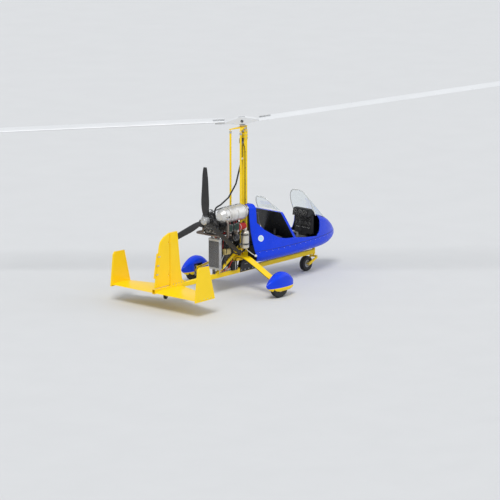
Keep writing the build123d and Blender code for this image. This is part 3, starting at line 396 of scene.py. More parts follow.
def axes_at(place, x_way, z_way):
    """A matrix at a place with its X and Z along two ways."""
    y_way = Vector(z_way).cross(Vector(x_way))
    turn = Matrix((x_way, y_way, z_way)).transposed().to_4x4()
    return Matrix.Translation(place) @ turn


def from_point(centre, *offsets):
    """Points at offsets from a centre."""
    return [Vector(centre) + Vector(offset) for offset in offsets]


def round_the_x(x, z, radius, angles):
    """Points on a circle about a line along X, at angles from port."""
    return [(x, radius * cos(angle), z + radius * sin(angle)) for angle in angles]


def full_turn(count):
    return [2 * pi * n / count for n in range(count)]


def box_of(name):
    """Lowest corner, highest corner and centre of a CAD node."""
    low, high = (Vector(corner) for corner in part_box(name))
    return low, high, (low + high) / 2


class Shape:
    """A mesh in the making. Its methods add to it and return it."""

    def __init__(self):
        self.data = bmesh.new()

    def skin(self, rings, loop=False, ends=True):
        """Faces from ring to ring. A loop joins the last ring to the first and has no ends."""
        rows = [[self.data.verts.new(point) for point in ring] for ring in rings]
        for low, high in zip(rows, rows[1:] + rows[:1] if loop else rows[1:]):
            for n in range(len(low)):
                after = (n + 1) % len(low)
                self.data.faces.new((low[n], low[after], high[after], high[n]))
        if ends and not loop:
            self.data.faces.new(rows[0])
            self.data.faces.new(rows[-1])
        return self

    def lathe(self, matrix, profile, segments=32, loop=False):
        """Turns a profile of radius and height about the matrix's Z."""
        angles = full_turn(segments)
        rings = [
            [matrix @ Vector((radius * cos(a), radius * sin(a), height)) for a in angles]
            for radius, height in profile
        ]
        return self.skin(rings, loop)

    def sleeve(self, matrix, inner, outer, length, segments):
        """A square-edged ring that starts at the matrix's origin."""
        profile = ((inner, 0.0), (outer, 0.0), (outer, length), (inner, length))
        return self.lathe(matrix, profile, segments, loop=True)

    def block(self, place, size):
        """A block about a point or a matrix's origin."""
        matrix = place if isinstance(place, Matrix) else Matrix.Translation(place)
        corners = [
            self.data.verts.new(matrix @ Vector((x * size[0] / 2, y * size[1] / 2, z * size[2] / 2)))
            for x in (-1, 1) for y in (-1, 1) for z in (-1, 1)
        ]
        for face in (
            (0, 1, 3, 2), (4, 6, 7, 5), (0, 4, 5, 1), (2, 3, 7, 6), (0, 2, 6, 4), (1, 5, 7, 3)
        ):
            self.data.faces.new([corners[n] for n in face])
        return self

    def bolt(self, place, normal, radius):
        """A washer and a hexagon head with a chamfer."""
        matrix = facing(place, normal)
        self.lathe(matrix, ((radius * 1.35, 0), (radius * 1.35, radius * 0.2)), 20)
        head = ((radius, radius * 0.2), (radius, radius * 0.8), (radius * 0.82, radius * 0.95))
        return self.lathe(matrix, head, 6)

    def clamp(self, centre, way, radius, width=0.01):
        """A worm-drive hose clamp."""
        matrix, outer, half = facing(centre, way), radius + 0.0012, width / 2
        self.lathe(matrix, ((radius, -half), (outer, -half), (outer, half), (radius, half)), loop=True)
        return self.block(matrix @ at(radius + 0.004, 0, 0), (0.007, 0.014, width))

    def union(self, place, way, radius):
        """A hexagon union with a barbed neck."""
        matrix = facing(place, way)
        for sizes, segments in (
            (((1.5, 0), (1.6, 0.3), (1.6, 1.6), (1.3, 1.9)), 6),
            (((0.9, 1.9), (1.15, 2.2), (0.9, 3.2), (1.15, 3.4), (0.9, 4.2)), 20),
        ):
            self.lathe(matrix, [(radius * out, radius * height) for out, height in sizes], segments)
        return self

    def finish(self, name, material, body="airframe", bevel=0.0, smooth_angle=35.0):
        """Makes an object, gives it its finish and lets it ride on a body."""
        bmesh.ops.recalc_face_normals(self.data, faces=self.data.faces)
        mesh = bpy.data.meshes.new(name)
        self.data.to_mesh(mesh)
        self.data.free()
        mesh.materials.append(material)
        for polygon in mesh.polygons:
            polygon.use_smooth = True
        mesh.set_sharp_from_angle(angle=radians(smooth_angle))
        piece = bpy.data.objects.new(name, mesh)
        scene.collection.objects.link(piece)
        if bevel:
            modifier = piece.modifiers.new("edge", "BEVEL")
            modifier.width = bevel
            modifier.segments = 2
            modifier.limit_method = "ANGLE"
            modifier.angle_limit = radians(40.0)
        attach(piece, body)
        return piece


def rounded_box(name, centre, size, material, bevel=0.006):
    return Shape().block(centre, size).finish(name, material, bevel=bevel)


def bolts(name, places, radius, body="airframe", material=zinc):
    """Places are pairs of a point and a normal."""
    shape = Shape()
    for place, normal in places:
        shape.bolt(place, normal, radius)
    return shape.finish(name, material, body)


def pipe(name, points, radius, material=rubber, body="airframe", straight=False):
    """A round tube that follows points, with closed ends."""
    curve = bpy.data.curves.new(name, "CURVE")
    curve.dimensions = "3D"
    curve.bevel_depth = radius
    curve.bevel_resolution = 4
    curve.use_fill_caps = True
    spline = curve.splines.new("POLY" if straight else "NURBS")
    spline.points.add(len(points) - 1)
    for control, point in zip(spline.points, points):
        control.co = (*point, 1.0)
    if not straight:
        spline.order_u = 3
        spline.use_endpoint_u = True
    curve.materials.append(material)
    piece = bpy.data.objects.new(name, curve)
    scene.collection.objects.link(piece)
    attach(piece, body)
    return piece


# Cushions
CUSHION_INSET = 0.01
CORNER_DRAW = 1.4
EDGE_ROUNDING = 0.014
VOXEL, QUICK_VOXEL = 0.006, 0.012


def hull(corners, half_width, inset):
    """A rounded prism from the corners of its side (X and Z), drawn in by an inset."""
    middle = sum((Vector(c) for c in corners), Vector((0, 0))) / len(corners)
    data = bmesh.new()
    rows = []
    for y in (-half_width + inset, half_width - inset):
        row = []
        for corner in corners:
            point = Vector(corner)
            point += (middle - point).normalized() * inset * CORNER_DRAW
            row.append(data.verts.new((point.x, y, point.y)))
        data.faces.new(row)
        rows.append(row)
    for n in range(len(corners)):
        after = (n + 1) % len(corners)
        data.faces.new((rows[0][n], rows[0][after], rows[1][after], rows[1][n]))
    bmesh.ops.recalc_face_normals(data, faces=data.faces)
    bmesh.ops.bevel(
        data, geom=data.edges[:], offset=EDGE_ROUNDING, segments=3, affect="EDGES", profile=0.6
    )
    return data


def apply_modifiers(piece):
    """Bakes a piece's modifiers into its mesh."""
    graph = bpy.context.evaluated_depsgraph_get()
    baked = bpy.data.meshes.new_from_object(piece.evaluated_get(graph))
    piece.modifiers.clear()
    old = piece.data
    piece.data = baked
    bpy.data.meshes.remove(old)


CLOTH_STEPS = 20
CLOTH_PRESSURE = 4.0
CLOTH_REACH = 0.012
CHANNEL_DEPTH = 0.008
CHANNEL_WIDTH = 0.007
FACE_DEPTH = 0.03


def inflate(piece):
    """Swells a closed mesh with a short cloth run, and limits how far a point may go."""
    before = [v.co.copy() for v in piece.data.vertices]
    cloth = piece.modifiers.new("swell", "CLOTH")
    cloth.settings.use_pressure = True
    cloth.settings.uniform_pressure_force = CLOTH_PRESSURE
    cloth.settings.effector_weights.gravity = 0.0
    cloth.settings.quality = 4
    for step in range(CLOTH_STEPS):
        scene.frame_set(step + 1)
    apply_modifiers(piece)
    scene.frame_set(1)
    for vertex, start in zip(piece.data.vertices, before):
        move = vertex.co - start
        if move.length > CLOTH_REACH:
            vertex.co = start + move.normalized() * CLOTH_REACH


def cushion(name, corners, half_width, channels, node):
    """A padded cushion from the four corners of its side, with sewn channels across it.

    The first two corners are the ends of the face that the occupant touches."""
    mesh_data = hull(corners, half_width, CUSHION_INSET)
    mesh = bpy.data.meshes.new(name)
    mesh_data.to_mesh(mesh)
    mesh_data.free()
    piece = bpy.data.objects.new(name, mesh)
    scene.collection.objects.link(piece)
    remesh = piece.modifiers.new("remesh", "REMESH")
    remesh.mode = "VOXEL"
    remesh.voxel_size = VOXEL
    apply_modifiers(piece)
    inflate(piece)
    start, end, far = (Vector((x, 0, z)) for x, z in corners[:3])
    run = end - start
    outward = run.cross(ACROSS).normalized()
    if outward.dot(far - start) > 0:
        outward = -outward
    for vertex in piece.data.vertices:
        place = vertex.co - start
        share = place.dot(run) / run.length_squared
        if -place.dot(outward) < FACE_DEPTH:
            for channel in channels:
                away = (share - channel) * run.length / CHANNEL_WIDTH
                vertex.co -= outward * CHANNEL_DEPTH * 2.718 ** (-away * away)
    smooth = piece.modifiers.new("smooth", "SUBSURF")
    smooth.levels = 1
    smooth.render_levels = smooth.levels
    apply_modifiers(piece)
    for polygon in piece.data.polygons:
        polygon.use_smooth = True
    piece.data.materials.append(seat_cloth)
    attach(piece, "airframe")
    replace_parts(piece, node)
    return piece


# Seats. Corners are X and Z in metres: lower front end of the face, upper end, then the back.
SEAT_HALF = 0.2
REAR_BACK_HALF = 0.142
FRONT_BASE = ((1.297, 0.603), (1.035, 0.59), (1.0, 0.508), (1.297, 0.524))
FRONT_BACK = ((1.015, 0.605), (0.735, 1.042), (0.655, 1.045), (0.952, 0.585))
REAR_BASE = ((0.733, 0.688), (0.372, 0.676), (0.33, 0.588), (0.733, 0.594))
REAR_BACK = ((0.36, 0.69), (0.238, 1.145), (0.15, 1.15), (0.278, 0.66))
BACK_CHANNELS = (0.2, 0.4, 0.6, 0.8)
cushion("front_base_cushion", FRONT_BASE, SEAT_HALF, (0.33, 0.66), "front_seat")
cushion("front_back_cushion", FRONT_BACK, SEAT_HALF, BACK_CHANNELS, "front_seat")
cushion("rear_base_cushion", REAR_BASE, SEAT_HALF, (0.25, 0.5, 0.75), "rear_seat")
cushion("rear_back_cushion", REAR_BACK, REAR_BACK_HALF, BACK_CHANNELS, "rear_seat")
STRAP_WIDTH = 0.045
STRAP_THICKNESS = 0.003
SHOULDER_Y = 0.075


def strap(name, points, across=ACROSS):
    """A flat strap of webbing along points, its width across the given way."""
    way = Vector(across).normalized() * STRAP_WIDTH / 2
    rings = []
    for n, point in enumerate(points):
        ahead = Vector(points[min(n + 1, len(points) - 1)]) - Vector(points[max(n - 1, 0)])
        normal = ahead.cross(way).normalized() * STRAP_THICKNESS / 2
        corners = ((-1, -1), (1, -1), (1, 1), (-1, 1))
        rings.append([Vector(point) + side * way + face * normal for side, face in corners])
    return Shape().skin(rings).finish(name, webbing)


def harness(name, seat_back, base):
    """Two shoulder straps, two lap straps and a buckle for one seat."""
    foot, head = (Vector((x, 0, z)) for x, z in seat_back[:2])
    lap = Vector((base[1][0] + 0.14, 0, base[1][1] + 0.035))
    run = head - foot
    out = run.cross(ACROSS).normalized() * 0.012
    if out.x < 0:
        out = -out
    for label, sign in SIDES:
        y = sign * SHOULDER_Y
        shoulder = [
            head - run * 0.12 - out * 8.2 + Vector((0, y, 0)),
            *from_point(head, (-0.07, y, 0.012), (-0.02, y, 0.016)),
            head + out + Vector((0, y, -0.02)),
            foot + run * 0.5 + out * 1.3 + Vector((0, y * 0.8, 0)),
            foot + run * 0.18 + out * 2 + Vector((0, y * 0.5, 0)),
            *from_point(lap, (0.01, y * 0.3, 0.03)),
        ]
        strap(f"{name}_shoulder_{label}", shoulder)
        hip = from_point(foot, (-0.01, y * 2.9, -0.02), (0.05, y * 2.5, 0.03))
        hip += from_point(lap, (0.0, y * 1.2, 0.03), (0.0, y * 0.3, 0.035))
        strap(f"{name}_lap_{label}", hip, across=(1, 0, 0.2))
    buckle = (
        (0.028, 0), (0.032, 0.004), (0.032, 0.014), (0.026, 0.019), (0.012, 0.019), (0.01, 0.015)
    )
    matrix = facing(lap + Vector((0.0, 0, 0.034)), (0.1, 0, 1))
    Shape().lathe(matrix, buckle).finish(f"{name}_buckle", bare_alloy)


harness("front_harness", FRONT_BACK, FRONT_BASE)
harness("rear_harness", REAR_BACK, REAR_BASE)


# Wheels. Half section of a tyre: share of the height above the rim, share of the half width.
TYRE_SIDE = (
    (0.0, 0.7), (0.05, 0.79), (0.16, 0.92), (0.34, 0.995), (0.45, 1.0), (0.6, 0.985),
    (0.62, 0.965), (0.66, 0.965), (0.68, 0.97), (0.82, 0.9), (0.9, 0.83), (0.935, 0.76),
)
# Crown with its grooves: share of the half width, share of the height that is missing
TYRE_CROWN = (
    (0.62, 0.035), (0.59, 0.085), (0.55, 0.085), (0.52, 0.025), (0.25, 0.006), (0.22, 0.065),
    (0.17, 0.065), (0.14, 0.003),
)
RIM_BOLTS = 5


def tyre_and_rim(side):
    """A grooved tyre in place of the solid's, and the bolts on both faces of its rim."""
    low, high, centre = box_of(f"{side}_tyre")
    rim_low, rim_high, rim_centre = box_of(f"{side}_rim")
    half = (high.y - low.y) / 2 * 0.995
    inner = (rim_high.z - rim_low.z) / 2
    height = (high.z - low.z) / 2 - inner
    section = [(inner + h * height, w * half) for h, w in TYRE_SIDE]
    section += [(inner + (1 - d) * height * 0.998, w * half) for w, d in TYRE_CROWN]
    section += [(r, -w) for r, w in reversed(section)]
    tread = Shape().lathe(facing(centre, ACROSS), section, 72, loop=True)
    tread = tread.finish(f"{side}_tyre_tread", rubber, f"{side}_wheel", smooth_angle=30.0)
    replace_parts(tread, f"{side}_tyre")
    radius, depth = inner * 0.62, (rim_high.y - rim_low.y) * 0.2
    places = []
    for n in range(RIM_BOLTS):
        angle = 2 * pi * (n + 0.5) / RIM_BOLTS
        for sign in (1, -1):
            out = Vector((radius * cos(angle), sign * depth, radius * sin(angle)))
            places.append((rim_centre + out, (0, sign, 0)))
    bolts(f"{side}_rim_bolts", places, 0.006, f"{side}_wheel")


for side in ("nose", "left", "right"):
    tyre_and_rim(side)


# Engine
CRANK_Z = 1.038
CASE_TOP = CRANK_Z + 0.095
CYLINDER_XS = (-0.435, -0.575)
HEAD_OUT = 0.285
PLUG_OUT = 0.245
PLUG_RISE = 0.056
COVER_STEPS = ((0.098, 0.003), (0.08, 0.0055))
COVER_SCREW = 0.042
CASE_FRONT_X, FLANGE_X, GEARBOX_BACK_X = -0.249, -0.222, -0.76
CASE_BOLT_CIRCLE, GEARBOX_BOLT_CIRCLE = 0.092, 0.066
CARB_Y = 0.245
CARB_Z = CRANK_Z - 0.022
FILTER_X = -0.363
FILTER_LENGTH = 0.15
FILTER_RADII = (0.056, 0.042)
PLEATS = 34


def pleated_filter(name, sign):
    """A cone of pleated gauze between two rubber ends."""
    matrix = facing((FILTER_X, sign * CARB_Y, CARB_Z), FORWARD)
    count = PLEATS * 4
    wide, narrow = FILTER_RADII
    rings = []
    for share in (0.1, 0.3, 0.5, 0.7, 0.9):
        radius = wide + (narrow - wide) * share
        ring = []
        for n, angle in enumerate(full_turn(count)):
            out = radius + 0.0022 * cos(pi * n / 2)
            ring.append(matrix @ Vector((out * cos(angle), out * sin(angle), share * FILTER_LENGTH)))
        rings.append(ring)
    gauze = Shape().skin(rings).finish(name, red_cloth, smooth_angle=60.0)
    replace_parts(gauze, "air_filters")
    ends = Shape()
    for profile in (
        ((0.03, 0.0), (0.054, 0.0), (0.058, 0.004), (0.058, 0.014), (0.055, 0.018), (0.04, 0.018)),
        ((0.036, 0.132), (0.044, 0.134), (0.044, 0.145), (0.038, 0.15), (0.02, 0.149)),
    ):
        ends.lathe(matrix, profile, 48)
    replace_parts(ends.finish(f"{name}_ends", red_rubber), "air_filters")


for label, sign in SIDES:
    pleated_filter(f"{label}_filter", sign)


def cylinder_heads():
    """Rocker covers with their ribs and screws, and plugs with their leads."""
    covers, caps, screws = Shape(), Shape(), []
    plug_cap = ((0.008, -0.002), (0.008, 0.006), (0.006, 0.008), (0.006, 0.014), (0.0045, 0.017))
    for x in CYLINDER_XS:
        for label, sign in SIDES:
            centre, way = Vector((x, sign * HEAD_OUT, CRANK_Z)), (0, sign, 0)
            for size, height in COVER_STEPS:
                covers.block(facing(centre, way) @ at(0, 0, height / 2), (size, size, height))
            for dx in (-0.024, -0.008, 0.008, 0.024):
                covers.block(centre + Vector((dx, sign * 0.0065, 0)), (0.004, 0.003, 0.066))
            for dx in (-COVER_SCREW, COVER_SCREW):
                for dz in (-COVER_SCREW, COVER_SCREW):
                    screws.append((centre + Vector((dx, sign * 0.003, dz)), way))
            plug = Vector((x + 0.02, sign * PLUG_OUT, CRANK_Z + PLUG_RISE))
            caps.lathe(facing(plug, UP), plug_cap, 16)
            lead = from_point(plug, (0, 0, 0.01), (-0.004, -sign * 0.012, 0.014))
            lead += [(-0.505, sign * y, CRANK_Z + z) for y, z in ((0.2, 0.066), (0.13, 0.062), (0.09, 0.105))]
            lead.append((-0.455, 0.04, CRANK_Z + 0.122))
            pipe(f"plug_lead_{label}_{abs(x) * 1000:.0f}", lead, 0.0032)
    covers.finish("rocker_covers", green_cover, bevel=0.0012)
    caps.finish("plug_caps", black_plastic)
    bolts("rocker_cover_screws", screws, 0.0035)


def ignition_boxes_and_bowls():
    """Finned ignition boxes on the case, and the carburettors' bowls and domes."""
    boxes, bowls = Shape(), Shape()
    for x in (-0.47, -0.38):
        boxes.block((x, 0.045, CASE_TOP + 0.016), (0.08, 0.06, 0.032))
        for n in range(6):
            boxes.block((x - 0.03 + 0.012 * n, 0.045, CASE_TOP + 0.036), (0.003, 0.06, 0.008))
    boxes.finish("ignition_boxes", dark_alloy, bevel=0.0015)
    bowl = ((0.02, -0.004), (0.023, 0.0), (0.023, 0.02), (0.019, 0.027), (0.008, 0.029))
    dome = ((0.022, -0.004), (0.022, 0.006), (0.015, 0.016), (0.006, 0.018))
    for sign in (1, -1):
        x, y, z = FILTER_X - 0.008, sign * CARB_Y, CARB_Z - 0.045
        bowls.lathe(facing((x, y, z), DOWN), bowl, 24)
        bowls.lathe(facing((x, y, z + 0.09), UP), dome, 24)
    bowls.finish("carburettor_bowls", bare_alloy)


def case_details():
    """Ribs on the crankcase, and the bolts of the case and the gearbox."""
    ribs = Shape()
    for x in (-0.68, -0.62, -0.505, -0.39, -0.345):
        for z in (CRANK_Z + 0.096, CRANK_Z - 0.096):
            ribs.block((x, 0, z), (0.007, 0.12, 0.006))
    ribs.finish("crankcase_ribs", dark_alloy, bevel=0.001)
    places = round_the_x(CASE_FRONT_X, CRANK_Z, CASE_BOLT_CIRCLE, full_turn(8))
    places += [(FLANGE_X, y, CRANK_Z + dz) for dz in (-0.045, 0.045) for y in (-0.045, 0.045)]
    bolts("crankcase_bolts", [(place, FORWARD) for place in places], 0.005)
    places = []
    for n in range(7):
        for centre_z, turn in ((PROP_Z, 0.0), (CRANK_Z, pi)):
            angle = pi * n / 6 + turn
            places += round_the_x(GEARBOX_BACK_X, centre_z, GEARBOX_BOLT_CIRCLE, [angle])
    bolts("gearbox_bolts", [(place, AFT) for place in places], 0.0045)


def hose_clamps():
    clamps = Shape()
    for sign in (1, -1):
        clamps.clamp((RADIATOR_X, sign * 0.06, 0.856), UP, 0.0122)
        clamps.clamp((-0.535, sign * 0.25, 0.965), UP, 0.0122)
        clamps.clamp((FILTER_X + 0.009, sign * CARB_Y, CARB_Z), FORWARD, 0.0582)
    clamps.finish("hose_clamps", zinc)


PROP_X = -0.812
PROP_Z = 1.15
RADIATOR_X = -0.597
DRUM_Y = -0.2
DRUM_Z = 1.224
DRUM_RADIUS = 0.115
cylinder_heads()
ignition_boxes_and_bowls()
case_details()
hose_clamps()


def silencer_details():
    """Strap ends with their bolts and a weld bead round each end of the drum."""
    welds, lugs, places = Shape(), Shape(), []
    for x, radius in ((-0.59, DRUM_RADIUS), (-0.25, DRUM_RADIUS), (-0.665, 0.104), (-0.19, 0.096)):
        bead = [(radius + 0.0016 * cos(a), 0.003 * sin(a)) for a in full_turn(6)]
        welds.lathe(facing((x, DRUM_Y, DRUM_Z), FORWARD), bead, 64, loop=True)
    welds.finish("silencer_welds", pipe_steel)
    for x in (-0.56, -0.415, -0.27):
        for way in (-1, 1):
            place = Vector((x, DRUM_Y + way * 0.009, DRUM_Z + 0.124))
            lugs.block(place, (0.012, 0.003, 0.018))
            places.append((place + Vector((0, way * 0.0015, 0.002)), (0, way, 0)))
    lugs.finish("silencer_lugs", silencer_steel, bevel=0.0006)
    bolts("silencer_lug_bolts", places, 0.004)


def silencer_probe():
    """Exhaust temperature lead that lies along the drum under pale ties."""
    lead_y = -0.135
    lift = (DRUM_RADIUS**2 - (lead_y - DRUM_Y) ** 2) ** 0.5
    rest_z = DRUM_Z + lift + 0.007
    route = [(-0.215, lead_y, rest_z - 0.012), (-0.24, lead_y, rest_z + 0.004)]
    route += [(-0.27 - 0.07 * n, lead_y, rest_z + 0.001) for n in range(5)]
    route += [(-0.62, lead_y + 0.005, rest_z - 0.004), (-0.68, -0.11, rest_z - 0.02)]
    route += [(-0.725, -0.07, 1.285), (-0.735, -0.03, 1.24), (-0.735, -0.02, 1.222)]
    pipe("silencer_lead", route, 0.0075)
    ties = Shape()
    way = Vector((0, lead_y - DRUM_Y, lift)).normalized()
    lean = Vector(UP).rotation_difference(way).to_matrix().to_4x4()
    for n in range(6):
        matrix = at(-0.26 - 0.062 * n, lead_y, rest_z) @ lean
        ties.block(matrix @ at(0, 0, 0.004), (0.014, 0.021, 0.012))
        ties.block(matrix @ at(0, 0, -0.0035), (0.016, 0.036, 0.004))
    ties.finish("silencer_ties", bare_alloy, bevel=0.0012)
    Shape().union((-0.735, -0.02, 1.219), UP, 0.007).finish("silencer_probe", zinc)


silencer_details()
silencer_probe()


def radiator_details():
    """Side channels, filler cap and the ribs of the top tank."""
    channels, ribs = Shape(), Shape()
    for sign in (1, -1):
        channels.block((RADIATOR_X, sign * 0.1015, 0.612), (0.056, 0.003, 0.4))
        for z in (0.45, 0.61, 0.77):
            channels.block((RADIATOR_X, sign * 0.106, z), (0.02, 0.01, 0.03))
    channels.finish("radiator_channels", bare_alloy, bevel=0.0006)
    cap = (
        (0.014, -0.002), (0.014, 0.01), (0.021, 0.011), (0.021, 0.02), (0.016, 0.023), (0.004, 0.024)
    )
    cap = Shape().lathe(facing((RADIATOR_X, 0.0, 0.846), UP), cap, 24)
    cap.block((RADIATOR_X, 0.0, 0.868), (0.008, 0.052, 0.006)).finish("radiator_cap", bare_alloy)
    for n in range(9):
        y = -0.09 + 0.0225 * n
        ribs.block((RADIATOR_X, y, 0.8465), (0.058, 0.003, 0.003))
        ribs.block((RADIATOR_X - 0.0328, y, 0.829), (0.002, 0.003, 0.028))
    ribs.finish("radiator_tank_ribs", bare_alloy, bevel=0.0004)


OIL_X, OIL_Y, OIL_TOP = -0.175, -0.22, 0.95


def oil_tank_details():
    """White fluted cap, two hoses and band bolts."""
    top = Vector((OIL_X, OIL_Y, OIL_TOP))
    rim = ((0.022, -0.004), (0.026, 0.0), (0.026, 0.018), (0.022, 0.022), (0.006, 0.023))
    cap = Shape().lathe(facing(top, UP), rim, 36)
    for angle in full_turn(12):
        flute = at(*(top + Vector((0.026 * cos(angle), 0.026 * sin(angle), 0.009))))
        cap.block(flute @ turned(angle), (0.003, 0.006, 0.016))
    cap.finish("oil_cap", white_plastic, bevel=0.0005)
    route = from_point(
        top, (-0.035, 0.0, -0.03), (-0.06, 0.0, 0.01), (-0.1, 0.03, 0.0), (-0.13, 0.09, -0.02),
        (-0.17, 0.14, 0.0),
    )
    pipe("oil_return_hose", route, 0.0085)
    route = from_point(
        top, (0, 0, -0.285), (-0.005, 0.0, -0.33), (-0.07, 0.03, -0.35), (-0.13, 0.12, -0.25),
        (-0.19, 0.16, -0.1), (-0.205, 0.16, -0.01),
    )
    pipe("oil_feed_hose", route, 0.0095)
    places = []
    for z in (0.731, 0.871):
        places.append(((OIL_X, OIL_Y - 0.0655, z), (0, -1, 0)))
        places.append(((OIL_X - 0.0655, OIL_Y, z), AFT))
    bolts("oil_band_bolts", places, 0.005)


radiator_details()
oil_tank_details()


def propeller_details():
    """Clamp plate, its bolts and a sleeve round each blade's root."""
    plate = (
        (0.06, -0.001), (0.06, 0.004), (0.056, 0.006), (0.034, 0.006), (0.03, 0.012),
        (0.018, 0.012), (0.015, 0.007), (0.003, 0.006),
    )
    matrix = facing((PROP_X - 0.033, 0, PROP_Z), AFT)
    Shape().lathe(matrix, plate, 48).finish("propeller_plate", bare_alloy, "propeller")
    places = round_the_x(PROP_X - 0.039, PROP_Z, 0.0508, full_turn(6))
    bolts("propeller_plate_bolts", [(place, AFT) for place in places], 0.0062, "propeller")
    sleeves = Shape()
    sleeve = ((0.028, 0.0), (0.031, 0.003), (0.031, 0.014), (0.0285, 0.018), (0.0275, 0.018))
    for n in range(3):
        angle = radians(90 + 120 * n)
        out = Vector((0, cos(angle), sin(angle)))
        sleeves.lathe(facing(Vector((PROP_X, 0, PROP_Z)) + out * 0.058, out), sleeve, 36)
    sleeves.finish("propeller_sleeves", dark_alloy, "propeller")


propeller_details()

# Rotor head: its own axes lean back with the disc, and the blades' axis turns from them
HEAD_TILT = radians(9)
BLADE_AZIMUTH = radians(50)
CONING = radians(3)
PIVOT = Vector((0.065, 0, 2.375))
HUB_OFFSET = 0.03
BAR_Z = 0.145
BAR_HALF_WIDTH = 0.04
TEETER_Z = 0.165
BLADE_THICKNESS = 0.026
SCREW_CIRCLE = 0.0415
head_x = Vector((cos(HEAD_TILT), 0, sin(HEAD_TILT)))
head_z = Vector((-sin(HEAD_TILT), 0, cos(HEAD_TILT)))
hub_x = head_x * cos(BLADE_AZIMUTH) - ACROSS * sin(BLADE_AZIMUTH)
hub_y = head_z.cross(hub_x)


def hub_point(x, y, z):
    return PIVOT - head_x * HUB_OFFSET + hub_x * x + hub_y * y + head_z * z


def rotor_head_details():
    """Teeter bolt's nuts, bearing flange and screws, pivot nuts and roll-bolt nuts."""
    teeter, pins, rolls = Shape(), Shape(), Shape()
    for sign in (1, -1):
        matrix = facing(hub_point(0, sign * BAR_HALF_WIDTH, TEETER_Z), hub_y * sign)
        teeter.lathe(matrix, ((0.021, 0), (0.021, 0.003)))
        teeter.lathe(matrix, ((0.0155, 0.003), (0.0155, 0.012), (0.013, 0.0145)), 6)
    teeter.finish("teeter_nuts", black_steel, "rotor")
    flange = ((0.0445, 0), (0.0445, 0.004), (0.0395, 0.006), (0.0385, 0.022), (0.0382, 0.022))
    housing = Shape().lathe(facing(hub_point(0, 0, 0.0705), head_z), flange, 48)
    housing.finish("bearing_flange", gold_alloy, "rotor_head")
    screws = []
    for angle in full_turn(8):
        place = PIVOT - head_x * (HUB_OFFSET - SCREW_CIRCLE * cos(angle))
        place += Vector((0, SCREW_CIRCLE * sin(angle), 0)) + head_z * 0.0745
        screws.append((place, head_z))
    bolts("bearing_screws", screws, 0.0022, "rotor_head")
    for sign in (1, -1):
        matrix = facing(PIVOT + Vector((0, sign * 0.0315, 0)), (0, sign, 0))
        pins.lathe(matrix, ((0.014, 0), (0.014, 0.0015)), 24)
        pins.lathe(matrix, ((0.0125, 0.0015), (0.0125, 0.009), (0.0105, 0.011)), 6)
    pins.finish("pitch_bolt_nuts", zinc, "gimbal")
    for reach, way in ((0.04, 1), (-0.045, -1)):
        matrix = facing(PIVOT + head_z * 0.034 + head_x * reach, head_x * way)
        rolls.lathe(matrix, ((0.012, 0), (0.012, 0.0075), (0.01, 0.0095)), 6)
    rolls.finish("roll_bolt_nuts", zinc, "rotor_head")


def blade_root_details():
    """Doubler plates with three bolts on each blade's root, and bosses on the hub bar."""
    plates, places, cheeks = Shape(), [], Shape()
    top = BLADE_THICKNESS * 1.5
    arm = hub_point(0, 0, BAR_Z - 0.06 * sin(CONING))
    for sign in (1, -1):
        out = hub_x * sign * cos(CONING) + head_z * sin(CONING)
        normal = out.cross(hub_y * sign)
        for length, width, rise in ((0.17, 0.062, 0.0), (0.12, 0.046, 0.0028)):
            place = arm + out * 0.345 + normal * (top + rise + 0.0012)
            plates.block(axes_at(place, out, normal), (length, width, 0.003))
        for reach in (0.29, 0.335, 0.38):
            places.append((arm + out * reach + normal * (top + 0.004), normal))
            places.append((arm + out * reach - normal * 0.013, -normal))
    plates.finish("blade_root_plates", bare_alloy, "rotor", bevel=0.001)
    bolts("blade_root_bolts", places, 0.0085, "rotor")
    boss = ((0.014, -0.001), (0.014, 0.0008), (0.011, 0.0012), (0.01, 0.0004))
    for sign in (1, -1):
        for way in (1, -1):
            place = hub_point(sign * 0.135, way * (BAR_HALF_WIDTH + 0.0006), BAR_Z + 0.012)
            matrix = axes_at(place, (hub_x * sign).normalized(), hub_y * way)
            cheeks.lathe(matrix, boss, 28)
    cheeks.finish("hub_bar_bosses", white_blade, "rotor")


rotor_head_details()
blade_root_details()

LOOM_X, LOOM_Y = 0.045, -0.030
ROD_X, ROD_Y = -0.135, 0.1
ROD_FOOT_Z, ROD_TOP_Z = 0.682, 2.378
DRIVE_X = -0.005
DRIVE_HOSE_RADIUS = 0.0122
GUSSET_Y, CHEEK_Y = 0.029, 0.031


